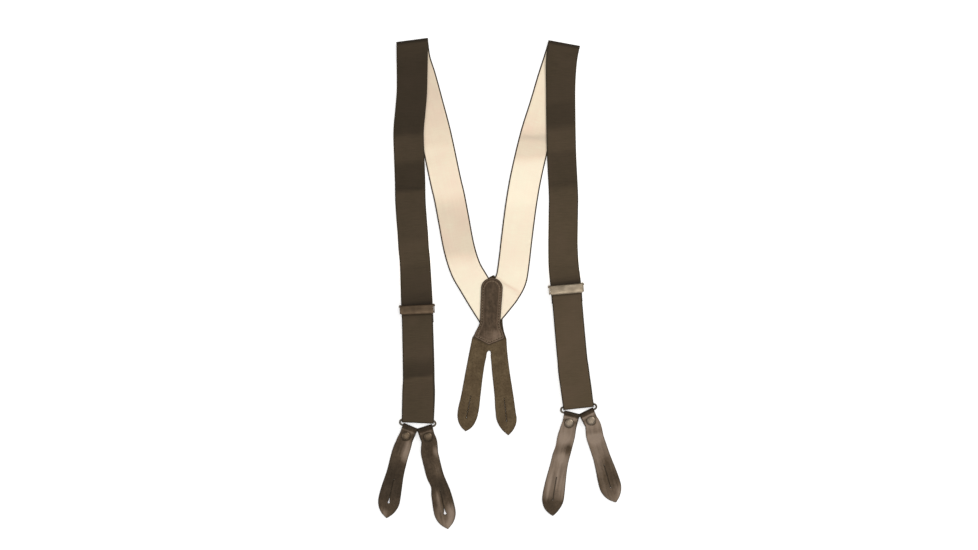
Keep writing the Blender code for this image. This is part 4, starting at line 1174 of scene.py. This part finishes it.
def lining_point(a, b):
    """A point of the lining's middle: a from -1 to 1 across, b from 0 to 1 up the tongue.
    Returns the point and how far it is from the lining's edge, in millimetres."""
    waist, tongue, shoulder = 12.4, 12.9, 18.4
    up = 15.0 + 60.0 * b
    half = waist + (shoulder - waist) * (1 - smooth((up - 15.0) / 19.0))
    half += (tongue - waist) * smooth((up - 40) / 30)
    low = 6.4 + 8.6 * abs(a)
    high = 75.0 + 12.0 * math.sqrt(max(0.0, 1 - a * a))
    along = low + (high - low) * b
    height = LINING_LOW + (LINING_HIGH - LINING_LOW) * smooth((along - 16) / 14)
    point = PATCH_CROTCH + PATCH_AXIS * along + PATCH_ACROSS * half * a + Vector((0, 0, height))
    from_side = half * (1 - abs(a)) * (0.92 if along < 34 else 1.0)
    from_chevron = (along - low) * 0.9
    round_top = math.sqrt(a * a + (max(0.0, along - 75.0) / 12.0) ** 2)
    from_top = (1 - round_top) * 12.4 if along > 75.0 else 99.0
    return point, max(0.0, min(from_side, from_chevron, from_top))


columns, rows = 34, 76
mesh = bmesh.new()
tone, rim = mesh.verts.layers.float.new("tone"), mesh.verts.layers.float.new("rim")
bmesh.ops.create_grid(mesh, x_segments=columns, y_segments=rows, size=1.0)
for v in mesh.verts:
    # Rows and columns crowd towards the edges, where the groove and the rounding are.
    a, b = math.sin(v.co.x * math.pi / 2) * 0.6 + v.co.x * 0.4, (v.co.y + 1) / 2
    b = b - 0.55 * math.sin(4 * math.pi * b) / (4 * math.pi)
    point, inside = lining_point(a, b)
    groove = math.exp(-(((inside - SEAM_IN) / 0.55) ** 2))
    pad = smooth((inside - 2.8) / 4.5)
    dent = noise.noise(point / 6.0) * 0.16 + noise.noise(point / 15.0) * 0.25
    v.co = mm(point + Vector((0, 0, -0.45 * groove + 0.85 * pad + dent * pad)))
    v[rim] = inside
    # The tone is lighter towards the lower end, varies at random over the pad, and carries a painted
    # highlight on the pad above the chevron.
    gleam = (point.xy - Vector((-4.0, -62.0))).length
    v[tone] = 1.0 + 0.25 * smooth((-52 - point.y) / 14) + 0.25 * noise.noise(point / 5.0) * pad
    v[tone] += 0.85 * math.exp(-((gleam / 6.5) ** 2))
    # Painted highlights lie along the raised ridges on both sides of the groove.
    for line_at, line_width, strength in ((4.1, 0.8, 0.45), (1.2, 0.7, 0.40)):
        v[tone] += strength * math.exp(-(((inside - line_at) / line_width) ** 2))
    # Painted shade darkens the groove.
    v[tone] *= 1 - 0.5 * groove
shade_smooth(mesh)
lining_leather = leather_material(
    "lining_leather", shade(74, 60, 47), shade(90, 73, 58), shade(38, 29, 21), shade(140, 120, 104), 0.46)
piece = new_piece("back_lining_leather", mesh, [lining_leather])
thickened(piece, LINING_THICK)
bevelled(piece, 0.35, 3, 50)
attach(piece, "back")
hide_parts("back_lining")

# The seam: one closed round of thread in the groove, shown as its separate stitches.
seam_thread = thread_material("seam_thread", 0.62, 0.2, shade(128, 108, 84), shade(170, 148, 118))
inset = 0.80
seam = [(a, 0.045) for a in (-inset, -0.4, 0.0, 0.4, inset)]
seam += [(inset, b / 10) for b in range(1, 9)]
top_angles = [math.pi * i / 12 for i in range(1, 12)]
seam += [(math.cos(t) * inset, 0.84 + 0.115 * math.sin(t)) for t in top_angles]
seam += [(-inset, b / 10) for b in range(8, 0, -1)]
lift = Vector((0, 0, LINING_THICK / 2))
seam_line = curve_through([lining_point(a, b)[0] + lift for a, b in seam + seam[:1]], 1.0)
seam_runs = runs_along(seam_line)
stitch_pitch, stitch_length = 3.2, 2.5


def on_seam(run):
    i = next((k for k, r in enumerate(seam_runs) if r >= run), len(seam_runs) - 1)
    i = max(1, i)
    return seam_line[i - 1].lerp(seam_line[i], (run - seam_runs[i - 1]) / (seam_runs[i] - seam_runs[i - 1]))


starts = [i * stitch_pitch for i in range(int(seam_runs[-1] / stitch_pitch))]
piece = stitches(
    "back_seam_stitches", [(on_seam(s), on_seam(s + stitch_length)) for s in starts], 0.30, seam_thread)
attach(piece, "back")
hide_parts("back_seam_thread")

# ------------------------------------------------------------------ studio
# A plain pale table under broad soft lights, with the camera straight above the braces.
mesh = bmesh.new()
bmesh.ops.create_grid(mesh, x_segments=2, y_segments=2, size=5.0)
bmesh.ops.translate(mesh, verts=mesh.verts, vec=(0, 0, -0.0002))
table_top, tree, shader = finish_of("table_top", 0.9, Specular_IOR_Level=0.1)
haze = node(tree, "TexNoise", node(tree, "TexCoord", out=3), None, 3.0, 2.0)
tree.links.new(mix(tree, haze, shade(250, 250, 250), shade(253, 253, 252)), shader.inputs["Base Color"])
shader.inputs["Emission Color"].default_value = (1, 1, 1, 1)
shader.inputs["Emission Strength"].default_value = 0.45
table = new_piece("table", mesh, [table_top])


def softbox(name, place, size, power, tint):
    light = bpy.data.lights.new(name, "AREA")
    light.shape = "SQUARE"
    light.size = size
    light.energy = power
    light.color = tint
    lamp = add_object(name, light)
    lamp.location = place
    lamp.rotation_euler = (-Vector(place)).to_track_quat("-Z", "Y").to_euler()


softbox("key_light", (1.5, 1.3, 1.7), 1.2, 29.0, (1.0, 0.985, 0.96))
softbox("fill_light", (-1.9, 0.2, 1.6), 1.6, 9.0, (0.97, 0.985, 1.0))
softbox("top_light", (0.1, -0.3, 3.0), 2.0, 27.0, (1.0, 0.995, 0.985))

world = bpy.data.worlds.new("studio")
world.use_nodes = True
world.node_tree.nodes["Background"].inputs["Color"].default_value = (1, 1, 1, 1)
world.node_tree.nodes["Background"].inputs["Strength"].default_value = 0.28
bpy.context.scene.world = world
bpy.context.scene.view_settings.view_transform = "Standard"

VIEW_WIDTH = 1.1736
LENS = 85.0
SENSOR = 36.0
camera_data = bpy.data.cameras.new("camera")
camera_data.lens = LENS
camera_data.sensor_width = SENSOR
camera_data.clip_end = 50.0
camera = add_object("camera", camera_data)
camera.location = (-0.012, 0.0102, VIEW_WIDTH * LENS / SENSOR)
bpy.context.scene.camera = camera
